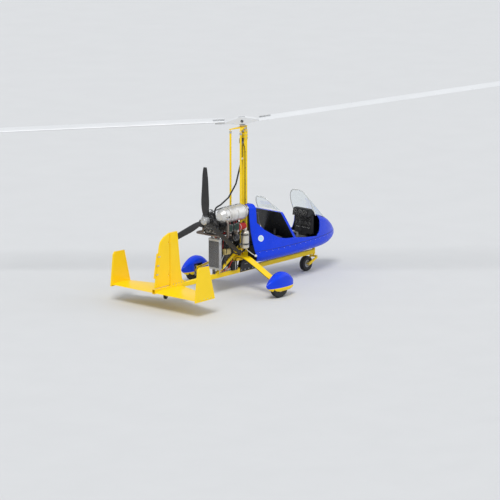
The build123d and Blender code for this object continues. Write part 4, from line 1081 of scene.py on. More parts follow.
def mast_details():
    """Wiring loom with ties, rod collars and the bolts of gussets, cheeks and bow clamps."""
    route = [(LOOM_X, LOOM_Y, z) for z in (0.8, 1.1, 1.5, 1.9)]
    route += [(0.042, -0.030, 2.12), (0.02, -0.0255, 2.17), (0.0, -0.0245, 2.2)]
    pipe("mast_loom", route, 0.005)
    ties = Shape()
    for n in range(6):
        z = 0.86 + 0.24 * n
        ties.sleeve(facing((LOOM_X, LOOM_Y, z - 0.002), UP), 0.0058, 0.007, 0.004, 16)
        ties.block((LOOM_X, LOOM_Y - 0.0085, z), (0.006, 0.005, 0.006))
    ties.finish("loom_ties", black_plastic)
    collar = (
        (0.0142, 0.0), (0.0185, 0.0), (0.0185, 0.014), (0.0168, 0.017), (0.0165, 0.03), (0.0142, 0.031)
    )
    for label, sign in WHEELS:
        collars = Shape()
        for z, way in ((ROD_FOOT_Z, UP), (ROD_TOP_Z, DOWN)):
            collars.lathe(facing((ROD_X, sign * ROD_Y, z), way), collar, loop=True)
        collars.finish(f"{label}_rod_collars", bare_alloy, f"{label}_rod")
    gusset = [(x, 0.275) for x in (-0.035, 0.045, 0.13, 0.22)]
    gusset += [(x, z) for z in (0.36, 0.45) for x in (0.045, 0.085)] + [(0.065, 0.54)]
    cheek = [(x, z) for z in (2.265, 2.315) for x in (0.04, 0.09)]
    places = []
    for sign in (1, -1):
        for spots, y in ((gusset, GUSSET_Y), (cheek, CHEEK_Y)):
            places += [((x, sign * y, z), (0, sign, 0)) for x, z in spots]
    bolts("frame_bolts", places, 0.0065)
    places = [((x, y, 0.531), UP) for x in (-0.135, -0.065) for y in (-0.034, 0.034)]
    bolts("bow_clamp_bolts", places, 0.008)


def drive_details():
    """Bolts of the pre-rotator's unit, and the clamps, sleeve and pale clip of its hose."""
    places = [((-0.027, y, z), AFT) for y in (-0.015, 0.015) for z in (2.2, 2.256)]
    bolts("drive_unit_bolts", places, 0.0035)
    clamps = Shape()
    for z in (2.178, 2.02):
        clamps.clamp((DRIVE_X, 0.0, z), UP, 0.0125)
    clamps.finish("drive_hose_clamps", zinc)
    sleeve = Shape().sleeve(facing((DRIVE_X, 0, 1.985), UP), DRIVE_HOSE_RADIUS, 0.0155, 0.19, 28)
    sleeve.finish("drive_hose_sleeve", black_plastic)
    clip = Shape().sleeve(facing((DRIVE_X, 0, 1.945), UP), DRIVE_HOSE_RADIUS, 0.018, 0.03, 28)
    clip.block((DRIVE_X + 0.019, 0, 1.96), (0.026, 0.014, 0.024))
    clip.finish("drive_hose_clip", white_plastic, bevel=0.001)


mast_details()
drive_details()

KNUCKLE = (-0.12, 0.743, 0.165)
HEADSET_X = 1.664
NOSE_AXLE = (1.485, 0.115)
FORK_SIDE = 0.0645
TAB_FOOT_X, TAB_FOOT_Z, TAB_LEAN = -1.899, 0.468, 0.168
FIN_TIP_Y = 0.842
# A brake hose along the bow and down the mast: X, distance from the middle, Z
BRAKE_ROUTE = (
    (-0.15, 0.742, 0.2), (-0.168, 0.728, 0.232), (-0.169, 0.6, 0.295), (-0.169, 0.4, 0.397),
    (-0.169, 0.22, 0.483), (-0.169, 0.06, 0.503), (-0.172, 0.03, 0.47), (-0.17, 0.0285, 0.36),
    (-0.13, 0.0285, 0.3),
)


def gear_details():
    """Brake hoses on the bow, knuckle bolts and the nose fork's fittings."""
    places = []
    for label, sign in WHEELS:
        pipe(f"{label}_brake_hose", [(x, sign * y, z) for x, y, z in BRAKE_ROUTE], 0.0038)
        for dx, dz in ((-0.02, 0.05), (0.02, 0.05), (-0.02, -0.05), (0.02, -0.05)):
            place = (KNUCKLE[0] + dx, sign * KNUCKLE[1], KNUCKLE[2] + dz)
            places.append((place, (0, -sign, 0)))
    bolts("knuckle_bolts", places, 0.006)
    fork, crown = Shape(), []
    nut = ((0.014, -0.001), (0.014, 0.008), (0.012, 0.011), (0.006, 0.0115))
    fork.lathe(facing((HEADSET_X, 0, 0.3406), UP), nut, 6)
    for sign in (1, -1):
        axle = facing((NOSE_AXLE[0], sign * FORK_SIDE, NOSE_AXLE[1]), (0, sign, 0))
        fork.sleeve(axle, 0.0092, 0.017, 0.003, 32)
        for dx in (-0.009, 0.009):
            crown.append(((HEADSET_X + dx, sign * FORK_SIDE, 0.203), (0, sign, 0)))
    fork.finish("fork_nuts", zinc, "fork")
    bolts("fork_crown_bolts", crown, 0.005, "fork")


def tail_details():
    """Hinge bolts, fin angles, fin-tip bolts, the trim tab's straps and the tail wheel's bolts."""
    angles, places, tab, wheel = Shape(), [], Shape(), []
    for sign in (1, -1):
        way = (0, sign, 0)
        angles.block((-1.42, sign * 0.0185, 0.3225), (0.3, 0.003, 0.025))
        places += [((-1.54 + 0.06 * n, sign * 0.02, 0.324), way) for n in range(5)]
        places += [((-1.606, sign * 0.005, z), way) for z in (0.48, 0.96)]
        for n in range(4):
            places.append(((-1.87 + 0.08 * n, sign * FIN_TIP_Y, 0.262), way))
            places.append(((-1.82 + 0.11 * n, sign * 0.025, 0.295), way))
        wheel.append(((-1.687, sign * 0.026, 0.162), way))
        wheel += [((x, sign * 0.014, 0.232), DOWN) for x in (-1.715, -1.66)]
    angles.finish("fin_angles", yellow_paint, bevel=0.0008)
    bolts("tail_bolts", places, 0.005)
    for z in (0.52, 0.65, 0.78):
        x = TAB_FOOT_X + (z - TAB_FOOT_Z) * TAB_LEAN
        for sign in (1, -1):
            tab.block((x + 0.008, sign * 0.0142, z), (0.05, 0.0015, 0.018))
    tab.finish("trim_tab_straps", bare_alloy, "rudder", bevel=0.0005)
    bolts("tail_wheel_bolts", wheel, 0.0055)


gear_details()
tail_details()


# Body


def touch(name, start, way):
    """Where a ray first meets a CAD node, with the normal there, or None."""
    node = nodes[name]
    inverse = node.matrix_world.inverted()
    hit, place, normal, _ = node.ray_cast(
        inverse @ Vector(start), (inverse.to_3x3() @ Vector(way)).normalized()
    )
    if not hit:
        return None
    return node.matrix_world @ place, (node.matrix_world.to_3x3() @ normal).normalized()


def side_touch(name, x, z, sign):
    """Where a ray from beyond a side first meets a CAD node."""
    return touch(name, (x, sign * 0.8, z), (0, -sign, 0))


EDGE_POINTS, EDGE_STEP = 41, 6


def screen_highlight_strip(name, node, low, high, centre_share):
    """A white strip along the leaning rim of a screen, a painted highlight, found by rays from its middle."""
    lean = Vector((high[0] - low[0], 0, high[1] - low[1]))
    middle = Vector((low[0], 0, low[1])) + lean * centre_share + Vector((0.003, 0, 0))
    points = []
    for n in range(EDGE_POINTS):
        angle = radians(-30 + EDGE_STEP * n)
        way = Vector((0, -cos(angle), 0)) + lean.normalized() * sin(angle)
        found = touch(node, middle, way)
        if found:
            points.append(found[0] + way.normalized() * 0.0025)
    return pipe(name, points, 0.0055, white_plastic)


# White strips on the rims of both screens: painted highlights
screen_highlight_strip("front_screen_highlight_strip", "front_screen", (1.512, 0.765), (1.262, 1.294), 0.4)
screen_highlight_strip("rear_screen_highlight_strip", "rear_screen", (0.6, 1.087), (0.41, 1.332), 0.35)

# The line of the cockpit edge in X and Z, a little below the shell's own
COAMING = (
    (0.148, 1.14), (0.133, 1.05), (0.137, 0.985), (0.252, 0.858), (0.37, 0.785), (0.5, 0.711),
    (0.69, 0.667), (0.86, 0.661), (1.107, 0.611), (1.385, 0.587),
)
SEAM_Z = 0.5685
SEAM_START_X, SEAM_STEP, SEAM_POINTS = 0.06, 0.0618, 33
SCREW_Z = 0.548


def body_details(label, sign):
    """Rolled edge of the cockpit, the seam of the two shells and its screws."""
    edging, seam, screws = [], [], []
    for x, z in COAMING:
        found = side_touch("upper_shell", x, z, sign) or side_touch("lower_shell", x, z, sign)
        if found:
            edging.append(found[0] + Vector((0, -sign * 0.004, 0.004)))
    pipe(f"{label}_coaming_edge", edging, 0.006, blue_shell)
    for n in range(SEAM_POINTS):
        x = SEAM_START_X + SEAM_STEP * n
        found = side_touch("lower_shell", x, SEAM_Z, sign)
        if found:
            seam.append(found[0] + found[1] * 0.0002)
            if n % 2:
                screws.append(side_touch("lower_shell", x, SCREW_Z, sign))
    pipe(f"{label}_shell_seam", seam, 0.0022)
    bolts(f"{label}_shell_screws", screws, 0.0034, material=bare_alloy)


MARK_X, MARK_Z = 0.165, 0.755
DISC_RADIUS, MARK_RADIUS = 0.034, 0.047


def round_mark(label, sign):
    """A plain two-colour disc that lies on the body's side."""
    for part, inner, outer, lift, material in (
        ("disc", 0.0, DISC_RADIUS, 0.0016, pale_film),
        ("ring", DISC_RADIUS, MARK_RADIUS, 0.0014, white_film),
    ):
        rings = []
        for radius in (inner, outer):
            ring = []
            for angle in full_turn(32):
                x, z = MARK_X + radius * cos(angle), MARK_Z + radius * sin(angle)
                place, normal = side_touch("upper_shell", x, z, sign)
                ring.append(place + normal * lift)
            rings.append(ring)
        mark = Shape().skin(rings, ends=False)
        bmesh.ops.remove_doubles(mark.data, verts=mark.data.verts, dist=0.0001)
        mark.finish(f"{label}_mark_{part}", material)


for label, sign in SIDES:
    body_details(label, sign)
for label, sign in SIDES:
    round_mark(label, sign)


# Cockpit


class Dials:
    """Round instruments that face aft: bezels, dark faces, and ticks with a needle."""

    def __init__(self):
        self.bezels, self.faces, self.marks = Shape(), Shape(), Shape()

    def add(self, centre, radius, reading):
        matrix = axes_at(Vector(centre), Vector((0, -1, 0)), Vector(AFT))
        bezel = ((1.0, 0.0), (1.16, 0.0), (1.12, 0.006), (1.02, 0.006))
        bezel = [(radius * share, height) for share, height in bezel]
        self.bezels.lathe(matrix, bezel, 40, loop=True)
        self.faces.lathe(matrix, ((radius * 1.01, 0.0), (radius * 1.01, 0.0018)), 40)
        for n in range(11):
            tick = matrix @ turned(radians(225 - 27 * n)) @ at(radius * 0.84, 0, 0.0024)
            self.marks.block(tick, (radius * 0.2, radius * 0.045, 0.0008))
        needle = matrix @ turned(radians(225 - 270 * reading)) @ at(radius * 0.3, 0, 0.0034)
        self.marks.block(needle, (radius * 0.8, radius * 0.05, 0.0008))
        self.marks.lathe(matrix, ((radius * 0.08, 0.0018), (radius * 0.08, 0.0042)), 16)


UPPER_PANEL_X, LOWER_PANEL_X = 1.3398, 1.4168
SWITCH_Z = 0.69


def panel_details():
    """Three large and eight small instruments over a row of switches."""
    dials = Dials()
    for y, reading in ((0.092, 0.35), (0.0, 0.55), (-0.092, 0.1)):
        dials.add((UPPER_PANEL_X, y, 0.93), 0.04, reading)
    for row, z in enumerate((0.825, 0.755)):
        for column, y in enumerate((0.115, 0.04, -0.04, -0.115)):
            dials.add((LOWER_PANEL_X, y, z), 0.026, 0.15 + 0.18 * ((row * 4 + column) % 4))
    dials.bezels.finish("instrument_bezels", black_steel)
    dials.faces.finish("instrument_faces", black_plastic)
    dials.marks.finish("instrument_marks", white_plastic)
    switches, levers = Shape(), Shape()
    for n in range(8):
        y = -0.12 + 0.034 * n
        nut = ((0.008, 0.0), (0.008, 0.003), (0.005, 0.005))
        switches.lathe(facing((1.417, y, SWITCH_Z), AFT), nut, 6)
        lean = facing((1.413, y, SWITCH_Z), (-1, 0, 0.6 if n % 3 else -0.6))
        levers.lathe(lean, ((0.0022, 0.0), (0.003, 0.012), (0.0022, 0.015)), 12)
    switches.finish("panel_switches", zinc)
    levers.finish("panel_switch_levers", bare_alloy)


def control_details():
    """Stick grips, pedal treads and the throttle lever on the port wall."""
    grips, treads = Shape(), Shape()
    stick, bead = 0.0172, 0.0171
    for x, low, height in ((1.345, 0.74, 0.1), (0.757, 0.69, 0.07)):
        matrix = facing((x, 0, low), UP)
        grips.lathe(matrix, ((stick, -0.001), (0.0195, 0.003), (0.0195, 0.006), (stick, 0.01)))
        for n in range(1, 5):
            level = height * n / 5.5
            grips.lathe(matrix, ((bead, level - 0.004), (0.0185, level), (bead, level + 0.004)))
        knob = ((bead, -0.012), (0.021, -0.004), (0.019, 0.006), (0.01, 0.01))
        grips.lathe(matrix, [(radius, height + rise) for radius, rise in knob])
    grips.finish("stick_grips", rubber)
    for y in (-0.11, 0.11):
        for n in range(6):
            treads.block((1.681, y, 0.46 + 0.024 * n), (0.005, 0.084, 0.008))
    treads.finish("pedal_treads", rubber, bevel=0.001)
    handle = ((0.005, 0.0), (0.005, 0.07), (0.013, 0.074), (0.015, 0.09), (0.011, 0.102), (0.003, 0.104))
    lever = Shape().block((1.2, 0.262, 0.56), (0.12, 0.022, 0.05))
    lever.lathe(facing((1.2, 0.262, 0.58), (0.35, 0, 1)), handle, 20)
    lever.finish("throttle_lever", black_plastic, bevel=0.001)


panel_details()
control_details()


# Lower engine bay, round the strut from the keel to the mast
STRUT_FOOT_X = -0.56
STRUT_FOOT_Z = 0.31
STRUT_SLOPE = (0.673 - STRUT_FOOT_Z) / (0.025 - STRUT_FOOT_X)
PLATE_XS = (-0.48, -0.19)
BOTTLE_STRAP_XS, BOTTLE_STRAP_TOP = (-0.462, -0.386), 0.675


def strut_z(x):
    return STRUT_FOOT_Z + (x - STRUT_FOOT_X) * STRUT_SLOPE


def expansion_bottle():
    """Cream coolant bottle with a screw cap, moulded ribs, its two straps and its lines."""
    centre, size = Vector((-0.424, -0.068, 0.628)), Vector((0.14, 0.08, 0.086))
    rounded_box("coolant_bottle", centre, size, amber_plastic, bevel=0.016)
    trim, straps = Shape(), Shape()
    for level in (-0.018, 0.012):
        trim.block(centre + Vector((0, 0, level)), (size.x + 0.003, size.y + 0.003, 0.004))
    trim.finish("coolant_bottle_ribs", amber_plastic, bevel=0.0015)
    top = centre + Vector((0.022, 0, size.z / 2))
    rim = ((0.019, -0.002), (0.019, 0.003), (0.024, 0.004), (0.024, 0.02), (0.021, 0.023))
    cap = Shape().lathe(facing(top, UP), rim, 28)
    for angle in full_turn(14):
        grip = at(*(top + Vector((0, 0, 0.012)))) @ turned(angle) @ at(0.0245, 0, 0)
        cap.block(grip, (0.002, 0.004, 0.014))
    cap.finish("coolant_bottle_cap", black_plastic)
    for x in BOTTLE_STRAP_XS:
        foot = strut_z(x)
        height = BOTTLE_STRAP_TOP - foot
        straps.block((x, -0.0245, (foot + BOTTLE_STRAP_TOP) / 2), (0.02, 0.003, height))
    straps.finish("bottle_straps", black_steel, bevel=0.0008)
    route = [
        (-0.474, -0.068, 0.592), (-0.49, -0.068, 0.575), (-0.515, -0.064, 0.53),
        (-0.53, -0.05, 0.45), (-0.532, -0.034, 0.36), (-0.53, -0.03, 0.305),
    ]
    pipe("bottle_overflow", route, 0.005, white_plastic)
    route = [
        (-0.38, -0.068, 0.668), (-0.375, -0.068, 0.7), (-0.43, -0.06, 0.75),
        (-0.54, -0.05, 0.78), (-0.575, -0.045, 0.8), (-0.58, -0.045, 0.825),
    ]
    pipe("bottle_feed", route, 0.006)


FUEL_FILTER = Vector((-0.37, -0.008, 0.338))
PUMP_REAR, PUMP_FRONT = Vector((-0.375, -0.05, 0.74)), Vector((-0.29, -0.05, 0.741))


def equipment_plate():
    """Plate along the strut, with the regulator, relays and fuse box on its two sides."""
    corners = [(x, strut_z(x) + 0.02) for x in PLATE_XS]
    corners += [(-0.19, 0.8), (-0.22, 0.83), (-0.45, 0.83), (-0.48, 0.8)]
    rings = [[(x, y, z) for x, z in corners] for y in (-0.002, 0.002)]
    Shape().skin(rings).finish("equipment_plate", black_steel, bevel=0.001)
    fins = Shape().block((-0.3, 0.012, 0.7), (0.085, 0.02, 0.075))
    for n in range(9):
        fins.block((-0.3, 0.028, 0.668 + 0.008 * n), (0.085, 0.014, 0.003))
    fins.finish("regulator", dark_alloy, bevel=0.0008)
    rounded_box("fuse_box", (-0.29, -0.019, 0.6), (0.09, 0.034, 0.06), black_plastic, 0.004)
    for n, x in enumerate((-0.335, -0.295, -0.255)):
        rounded_box(f"relay_{n}", (x, 0.018, 0.6), (0.028, 0.03, 0.028), black_plastic, 0.003)


def fuel_system():
    """Fuel pump on the plate, an in-line filter on the keel, and their lines."""
    way = PUMP_FRONT - PUMP_REAR
    drum = (
        (0.02, 0.0), (0.026, 0.004), (0.026, 0.03), (0.028, 0.034), (0.028, 0.055),
        (0.026, 0.059), (0.026, 0.08), (0.018, 0.085),
    )
    Shape().lathe(facing(PUMP_REAR, way), drum, 36).finish("fuel_pump", black_plastic)
    unions, bands, clips = Shape(), Shape(), Shape()
    unions.union(PUMP_REAR, -way, 0.008).union(PUMP_FRONT, way, 0.008)
    for share in (0.2, 0.8):
        place = PUMP_REAR.lerp(PUMP_FRONT, share)
        bands.clamp(place, way, 0.0265)
        bands.block(place + Vector((0, 0.024, -0.022)), (0.012, 0.045, 0.003))
    bands.finish("fuel_pump_bands", zinc)
    can = ((0.008, 0.0), (0.019, 0.008), (0.021, 0.014), (0.021, 0.085), (0.019, 0.092), (0.008, 0.1))
    Shape().lathe(facing(FUEL_FILTER, FORWARD), can).finish("fuel_filter", bare_alloy)
    for dx in (0.02, 0.08):
        clips.clamp(FUEL_FILTER + Vector((dx, 0, 0)), FORWARD, 0.0215)
        clips.block(FUEL_FILTER + Vector((dx, 0, -0.0245)), (0.014, 0.046, 0.007))
    clips.finish("fuel_filter_clips", zinc)
    unions.union(FUEL_FILTER + Vector((0.1, 0, 0)), FORWARD, 0.006).union(FUEL_FILTER, AFT, 0.006)
    unions.finish("fuel_unions", zinc)
    route = [
        (-0.25, -0.008, 0.338), (-0.2, -0.012, 0.34), (-0.13, -0.02, 0.35), (-0.05, -0.03, 0.39),
        (0.06, -0.0305, 0.42), (0.16, -0.02, 0.45), (0.3, 0.0, 0.47),
    ]
    pipe("fuel_line_feed", route, 0.0055)
    route = [
        (-0.39, -0.008, 0.338), (-0.45, -0.012, 0.345), (-0.48, -0.04, 0.42),
        (-0.475, -0.055, 0.52), (-0.47, -0.12, 0.62), (-0.455, -0.1, 0.71),
        (-0.42, -0.055, 0.738), (-0.405, -0.05, 0.74),
    ]
    pipe("fuel_line_rise", route, 0.0055)
    for label, sign in SIDES:
        route = [(-0.26, -0.05, 0.741), (-0.225, -0.05, 0.745), (-0.215, -0.03, 0.8)]
        route += [(-0.235, sign * 0.06, 0.86), (-0.3, sign * 0.16, 0.89)]
        route += [(-0.345, sign * 0.22, 0.92), (-0.37, sign * 0.24, 0.95)]
        pipe(f"{label}_carburettor_line", route, 0.0045)


expansion_bottle()
equipment_plate()
fuel_system()


def coolant_hoses():
    """Rubber hoses between the radiator and the engine, with their clips."""
    rings = Shape()
    for label, sign in SIDES:
        route = (
            (-0.556, 0.052, 0.398), (-0.53, 0.052, 0.4), (-0.505, 0.052, 0.43), (-0.5, 0.056, 0.56),
            (-0.512, 0.05, 0.72), (-0.495, 0.045, 0.85), (-0.49, 0.045, 0.95),
        )
        pipe(f"{label}_lower_coolant_hose", [(x, sign * y, z) for x, y, z in route], 0.0135)
        rings.clamp((-0.5525, sign * 0.052, 0.398), FORWARD, 0.0145)
        rings.clamp((-0.49, sign * 0.045, 0.93), UP, 0.0145)
    route = [
        (RADIATOR_X, -0.015, 0.84), (RADIATOR_X, -0.015, 0.875), (-0.575, -0.02, 0.898),
        (-0.52, -0.03, 0.9), (-0.455, -0.045, 0.9), (-0.43, -0.05, 0.91), (-0.43, -0.05, 0.948),
    ]
    pipe("red_coolant_hose", route, 0.0165, red_rubber)
    rings.clamp((RADIATOR_X, -0.015, 0.853), UP, 0.0175).clamp((-0.43, -0.05, 0.935), UP, 0.0175)
    rings.clamp((OIL_X, OIL_Y, 0.66), UP, 0.0105).finish("bay_hose_clamps", zinc)


def oil_hoses_and_wires():
    """Hoses from the oil tank to the engine, its vent and drain, and three lengths of loom."""
    route = [
        (-0.175, -0.22, 0.672), (-0.178, -0.215, 0.64), (-0.21, -0.17, 0.59), (-0.28, -0.13, 0.57),
        (-0.36, -0.13, 0.64), (-0.41, -0.14, 0.76), (-0.42, -0.1, 0.88), (-0.42, -0.07, 0.95),
    ]
    pipe("oil_rise_hose", route, 0.0095)
    route = [
        (-0.175, -0.22, 0.945), (-0.178, -0.215, 0.97), (-0.205, -0.17, 0.985),
        (-0.235, -0.11, 0.96), (-0.27, -0.08, 0.94), (-0.3, -0.06, 0.93), (-0.34, -0.05, 0.94),
    ]
    pipe("oil_supply_hose", route, 0.0095)
    route = [
        (-0.15, -0.2, 0.925), (-0.1, -0.17, 0.96), (-0.06, -0.1, 0.9), (-0.05, -0.05, 0.74),
        (-0.055, -0.04, 0.6), (-0.06, -0.042, 0.545),
    ]
    pipe("oil_vent_hose", route, 0.0055, white_plastic)
    route = [
        (-0.14, -0.2, 0.669), (-0.135, -0.208, 0.64), (-0.1, -0.222, 0.605), (-0.03, -0.232, 0.55),
        (0.03, -0.236, 0.515), (0.056, -0.236, 0.506),
    ]
    pipe("drain_line", route, 0.0055, white_plastic)
    cap = ((0.008, -0.012), (0.018, -0.01), (0.02, 0.0), (0.018, 0.012), (0.008, 0.017))
    cap = Shape().lathe(facing((0.05, -0.236, 0.508), (-1, 0, 0.25)), cap, 28)
    cap.finish("drain_cap", white_plastic)
    for n, route in enumerate(
        (
            ((-0.33, -0.02, 0.62), (-0.36, -0.03, 0.66), (-0.4, -0.02, 0.78), (-0.4, -0.02, 0.95)),
            ((-0.25, -0.02, 0.62), (-0.2, -0.02, 0.66), (-0.08, -0.03, 0.76), (0.03, -0.031, 0.86)),
            ((-0.33, 0.02, 0.72), (-0.38, 0.03, 0.78), (-0.4, 0.05, 0.86), (-0.38, 0.05, 0.95)),
        )
    ):
        pipe(f"bay_loom_{n}", route, 0.0048)


def machines_under_the_case():
    """Starter motor, coolant pump, and the alternator's pulley and vents."""
    motor = (
        (0.03, -0.07), (0.038, -0.06), (0.038, 0.03), (0.034, 0.036), (0.034, 0.09),
        (0.026, 0.098), (0.01, 0.1),
    )
    Shape().lathe(facing((-0.33, 0.09, 0.93), AFT), motor, 36).finish("starter_motor", black_steel)
    pump = (
        (0.03, -0.13), (0.045, -0.12), (0.045, -0.02), (0.05, -0.015), (0.05, 0.012),
        (0.036, 0.02), (0.024, 0.044), (0.02, 0.05),
    )
    Shape().lathe(facing((-0.31, -0.035, 0.93), FORWARD), pump, 36).finish("coolant_pump", dark_alloy)
    pulley = (
        (0.046, -0.001), (0.046, 0.004), (0.036, 0.008), (0.036, 0.012), (0.046, 0.016),
        (0.046, 0.02), (0.02, 0.02), (0.016, 0.026), (0.006, 0.027),
    )
    matrix = facing((-0.37, -0.224, 0.862), (0, -1, 0))
    Shape().lathe(matrix, pulley, 40).finish("alternator_pulley", dark_alloy)
    slots = Shape()
    for angle in full_turn(12):
        slots.block(matrix @ turned(angle) @ at(0.053, 0, 0.0008), (0.008, 0.009, 0.002))
    slots.finish("alternator_slots", black_plastic)


coolant_hoses()
oil_hoses_and_wires()
machines_under_the_case()


def battery_details():
    """Black battery on the keel under the strut, with its terminals, strap and cables."""
    x, z, size = -0.212, 0.377, Vector((0.1, 0.112, 0.13))
    bottom, top = z - size.z / 2, z + size.z / 2
    rounded_box("battery", (x, 0, z), size, black_plastic, bevel=0.004)
    trim = Shape().block((x, 0, top - 0.014), (size.x + 0.003, 0.115, 0.004))
    for n in range(7):
        trim.block((x - 0.051, (n - 3) * 0.015, z - 0.01), (0.003, 0.003, 0.08))
        trim.block((x - 0.045 + n * 0.015, -0.057, z - 0.01), (0.003, 0.003, 0.08))
    trim.finish("battery_ribs", black_plastic, bevel=0.0008)
    metal = Shape()
    for y in (-0.04, 0.04):
        metal.block((x - 0.03, y, top + 0.004), (0.014, 0.012, 0.01))
        metal.bolt((x - 0.03, y, top + 0.009), UP, 0.0045)
    for y in (-0.0585, 0.0585):
        metal.block((x + 0.01, y, z), (0.016, 0.0015, size.z))
    metal.block((x + 0.01, 0, top + 0.001), (0.016, 0.118, 0.0015))
    metal.finish("battery_terminals", zinc, bevel=0.0005)
    tray = Shape().block((x, 0, bottom + 0.001), (0.116, 0.124, 0.004))
    tray.finish("battery_tray", black_steel, bevel=0.0008)
    for name, y, material in (("plus", -0.04, red_rubber), ("minus", 0.04, rubber)):
        route = [(x - 0.03, y, top + 0.012), (x - 0.055, y, top + 0.012)]
        route += [(x - 0.07, y * 0.8, top - 0.02), (-0.31, y * 0.6, 0.36)]
        route += [(-0.4, y * 0.55, 0.328), (-0.47, y * 0.5, 0.322), (-0.5, y * 0.45, 0.36)]
        route += [(-0.49, y * 0.9, 0.5), (-0.47, y, 0.7), (-0.44, y, 0.95)]
        pipe(f"battery_{name}_cable", route, 0.0065, material)


def relay_box():
    """Relay box hung from the engine mount, with its lid and hangers."""
    rounded_box("relay_box", (-0.16, 0.0, 0.91), (0.1, 0.07, 0.1), black_plastic, 0.006)
    lid, hangers = Shape().block((-0.16, 0.0, 0.936), (0.104, 0.074, 0.006)), Shape()
    for x in (-0.195, -0.125):
        lid.block((x, -0.037, 0.93), (0.012, 0.004, 0.026))
    lid.finish("relay_box_lid", black_plastic, bevel=0.001)
    for x in (-0.19, -0.13):
        hangers.block((x, 0, 0.972), (0.014, 0.094, 0.003))
        hangers.block((x, 0, 0.9645), (0.014, 0.02, 0.015))
    hangers.finish("relay_box_hangers", zinc, bevel=0.0006)


def bearers():
    """The tube frame under the engine."""
    tube = 0.0105
    for label, sign in SIDES:
        route = (
            (-0.222, 0.05, 0.975), (-0.26, 0.085, 0.93), (-0.33, 0.115, 0.905),
            (-0.55, 0.115, 0.905), (-0.66, 0.1, 0.92), (-0.68, 0.085, 0.945),
        )
        pipe(f"{label}_bearer", [(x, sign * y, z) for x, y, z in route], tube, black_steel)
    ends = [(-0.62, y, 0.912) for y in (-0.108, 0.108)]
    pipe("bearer_cross", ends, tube, black_steel, straight=True)


def keel_clips():
    """Rubber-lined clips on the keel that hold the battery's cables."""
    clips = Shape()
    for x in (-0.4, -0.44, -0.48):
        for y in (-0.016, 0.016):
            clips.sleeve(facing((x - 0.006, y, 0.3245), FORWARD), 0.0085, 0.0135, 0.012, 20)
        clips.block((x, 0, 0.3115), (0.012, 0.05, 0.003)).bolt((x, 0, 0.313), UP, 0.005)
    clips.finish("keel_clips", zinc)


def strut_boot():
    """Black ribbed boot over the cables that run up past the strut to the mast."""
    low, high, ribs = Vector((-0.118, -0.05, 0.5)), Vector((-0.108, -0.05, 0.72)), 18
    run = high - low
    profile = [(0.016 if n % 2 else 0.0195, run.length * n / (ribs - 1)) for n in range(ribs)]
    boot = Shape().lathe(facing(low, run), profile, 28)
    boot.finish("cable_boot", rubber, smooth_angle=60)
    route = [high - run * 0.05, *from_point(high, (0.004, 0.0, 0.05), (0.06, 0.018, 0.14))]
    pipe("boot_cables", route + [(0.0, -0.0325, 0.93), (0.015, -0.0325, 1.02)], 0.009)


battery_details()
relay_box()
bearers()
keel_clips()
strut_boot()


def ignition_route(start, end, sign, lead, head):
    """A lead's route over the port heads, or round behind the drum to the starboard ones."""
    rise = 0.1 - 0.006 * lead
    if sign > 0:
        first = from_point(start, (-0.04, 0.0, 0.02), (-0.03, 0.02, rise))
        last = [(head - 0.04, 0.14, 1.2 + rise * 0.5), (end.x, 0.235, 1.19)]
    else:
        first = from_point(start, (-0.04, -0.01, 0.02), (-0.07, -0.03, rise))
        last = [(-0.765, -0.09, 1.26 - 0.01 * lead), (-0.755, -0.16, 1.15)]
        last += [(-0.72, -0.24, 1.112), (end.x - 0.05, -0.262, 1.108)]
    return [start, *first, *last, end + Vector((0, 0, 0.018)), end]


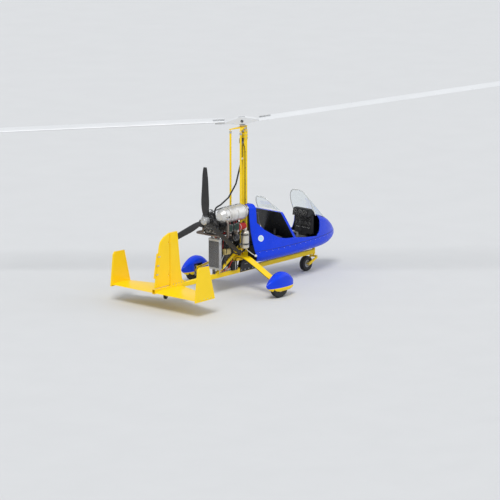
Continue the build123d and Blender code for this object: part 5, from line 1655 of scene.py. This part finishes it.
def ignition_details():
    """Ignition modules on the crankcase and the leads that they send to the heads."""
    centre, size = Vector((-0.648, 0.03, 1.188)), Vector((0.084, 0.09, 0.085))
    rounded_box("ignition_modules", centre, size, black_plastic, bevel=0.005)
    fins, boots = Shape(), Shape()
    for n in range(8):
        fins.block(centre + Vector((0, (n - 3.5) * 0.0108, 0.045)), (0.07, 0.003, 0.012))
    fins.finish("ignition_fins", dark_alloy, bevel=0.0006)
    feet = Shape().block((centre.x, centre.y, 1.139), (0.1, 0.106, 0.014))
    feet.finish("ignition_feet", black_steel, bevel=0.001)
    boot = ((0.009, 0.0), (0.01, 0.012), (0.0075, 0.02), (0.006, 0.034))
    plugs = [
        (sign, x, step) for sign in (1, -1) for x in reversed(CYLINDER_XS) for step in (-0.024, 0.024)
    ]
    for lead, (sign, x, step) in enumerate(plugs):
        start = centre + Vector((-0.042, (lead - 3.5) * 0.0105, 0.02))
        end = Vector((x + step, sign * 0.252, 1.103))
        pipe(f"ignition_lead_{lead}", ignition_route(start, end, sign, lead, x), 0.0038)
        boots.lathe(facing(end - Vector((0, 0, 0.012)), UP), boot, 18)
    boots.finish("ignition_boots", red_rubber)


ignition_details()


# Floor and light
FLOOR_HALF = 90.0
floor_mesh = bpy.data.meshes.new("floor")
floor_corners = [(FLOOR_HALF * x, FLOOR_HALF * y, 0) for x, y in ((-1, -1), (1, -1), (1, 1), (-1, 1))]
floor_mesh.from_pydata(floor_corners, [], [(0, 1, 2, 3)])
floor = bpy.data.objects.new("floor", floor_mesh)
scene.collection.objects.link(floor)
floor_material, floor_tree, floor_shader, floor_where = new_material("floor")
floor_cloud = noise(floor_tree, floor_where, 1.5)
floor_stops = ((0.3, (0.615, 0.62, 0.625)), (0.7, (0.63, 0.635, 0.64)))
floor_base = ramp(floor_tree, floor_cloud, floor_stops)
feed(floor_tree, floor_shader, {"Base Color": floor_base, "Roughness": 0.9})
floor_mesh.materials.append(floor_material)

world = bpy.data.worlds.new("studio")
scene.world = world
world.use_nodes = True
background = world.node_tree.nodes["Background"]
feed(world.node_tree, background, {"Color": (0.93, 0.96, 1.0, 1.0), "Strength": 0.62})

# Lamps: name, direction that it comes from, strength, softness in degrees
for lamp_name, direction, strength, softness in (
    ("key", (-0.55, -0.35, 0.95), 1.9, 22.0),
    ("fill", (0.8, -0.7, 0.6), 0.55, 60.0),
):
    lamp_data = bpy.data.lights.new(lamp_name, "SUN")
    lamp_data.energy = strength
    lamp_data.angle = radians(softness)
    lamp = bpy.data.objects.new(lamp_name, lamp_data)
    scene.collection.objects.link(lamp)
    lamp.rotation_euler = Vector(direction).to_track_quat("Z", "Y").to_euler()
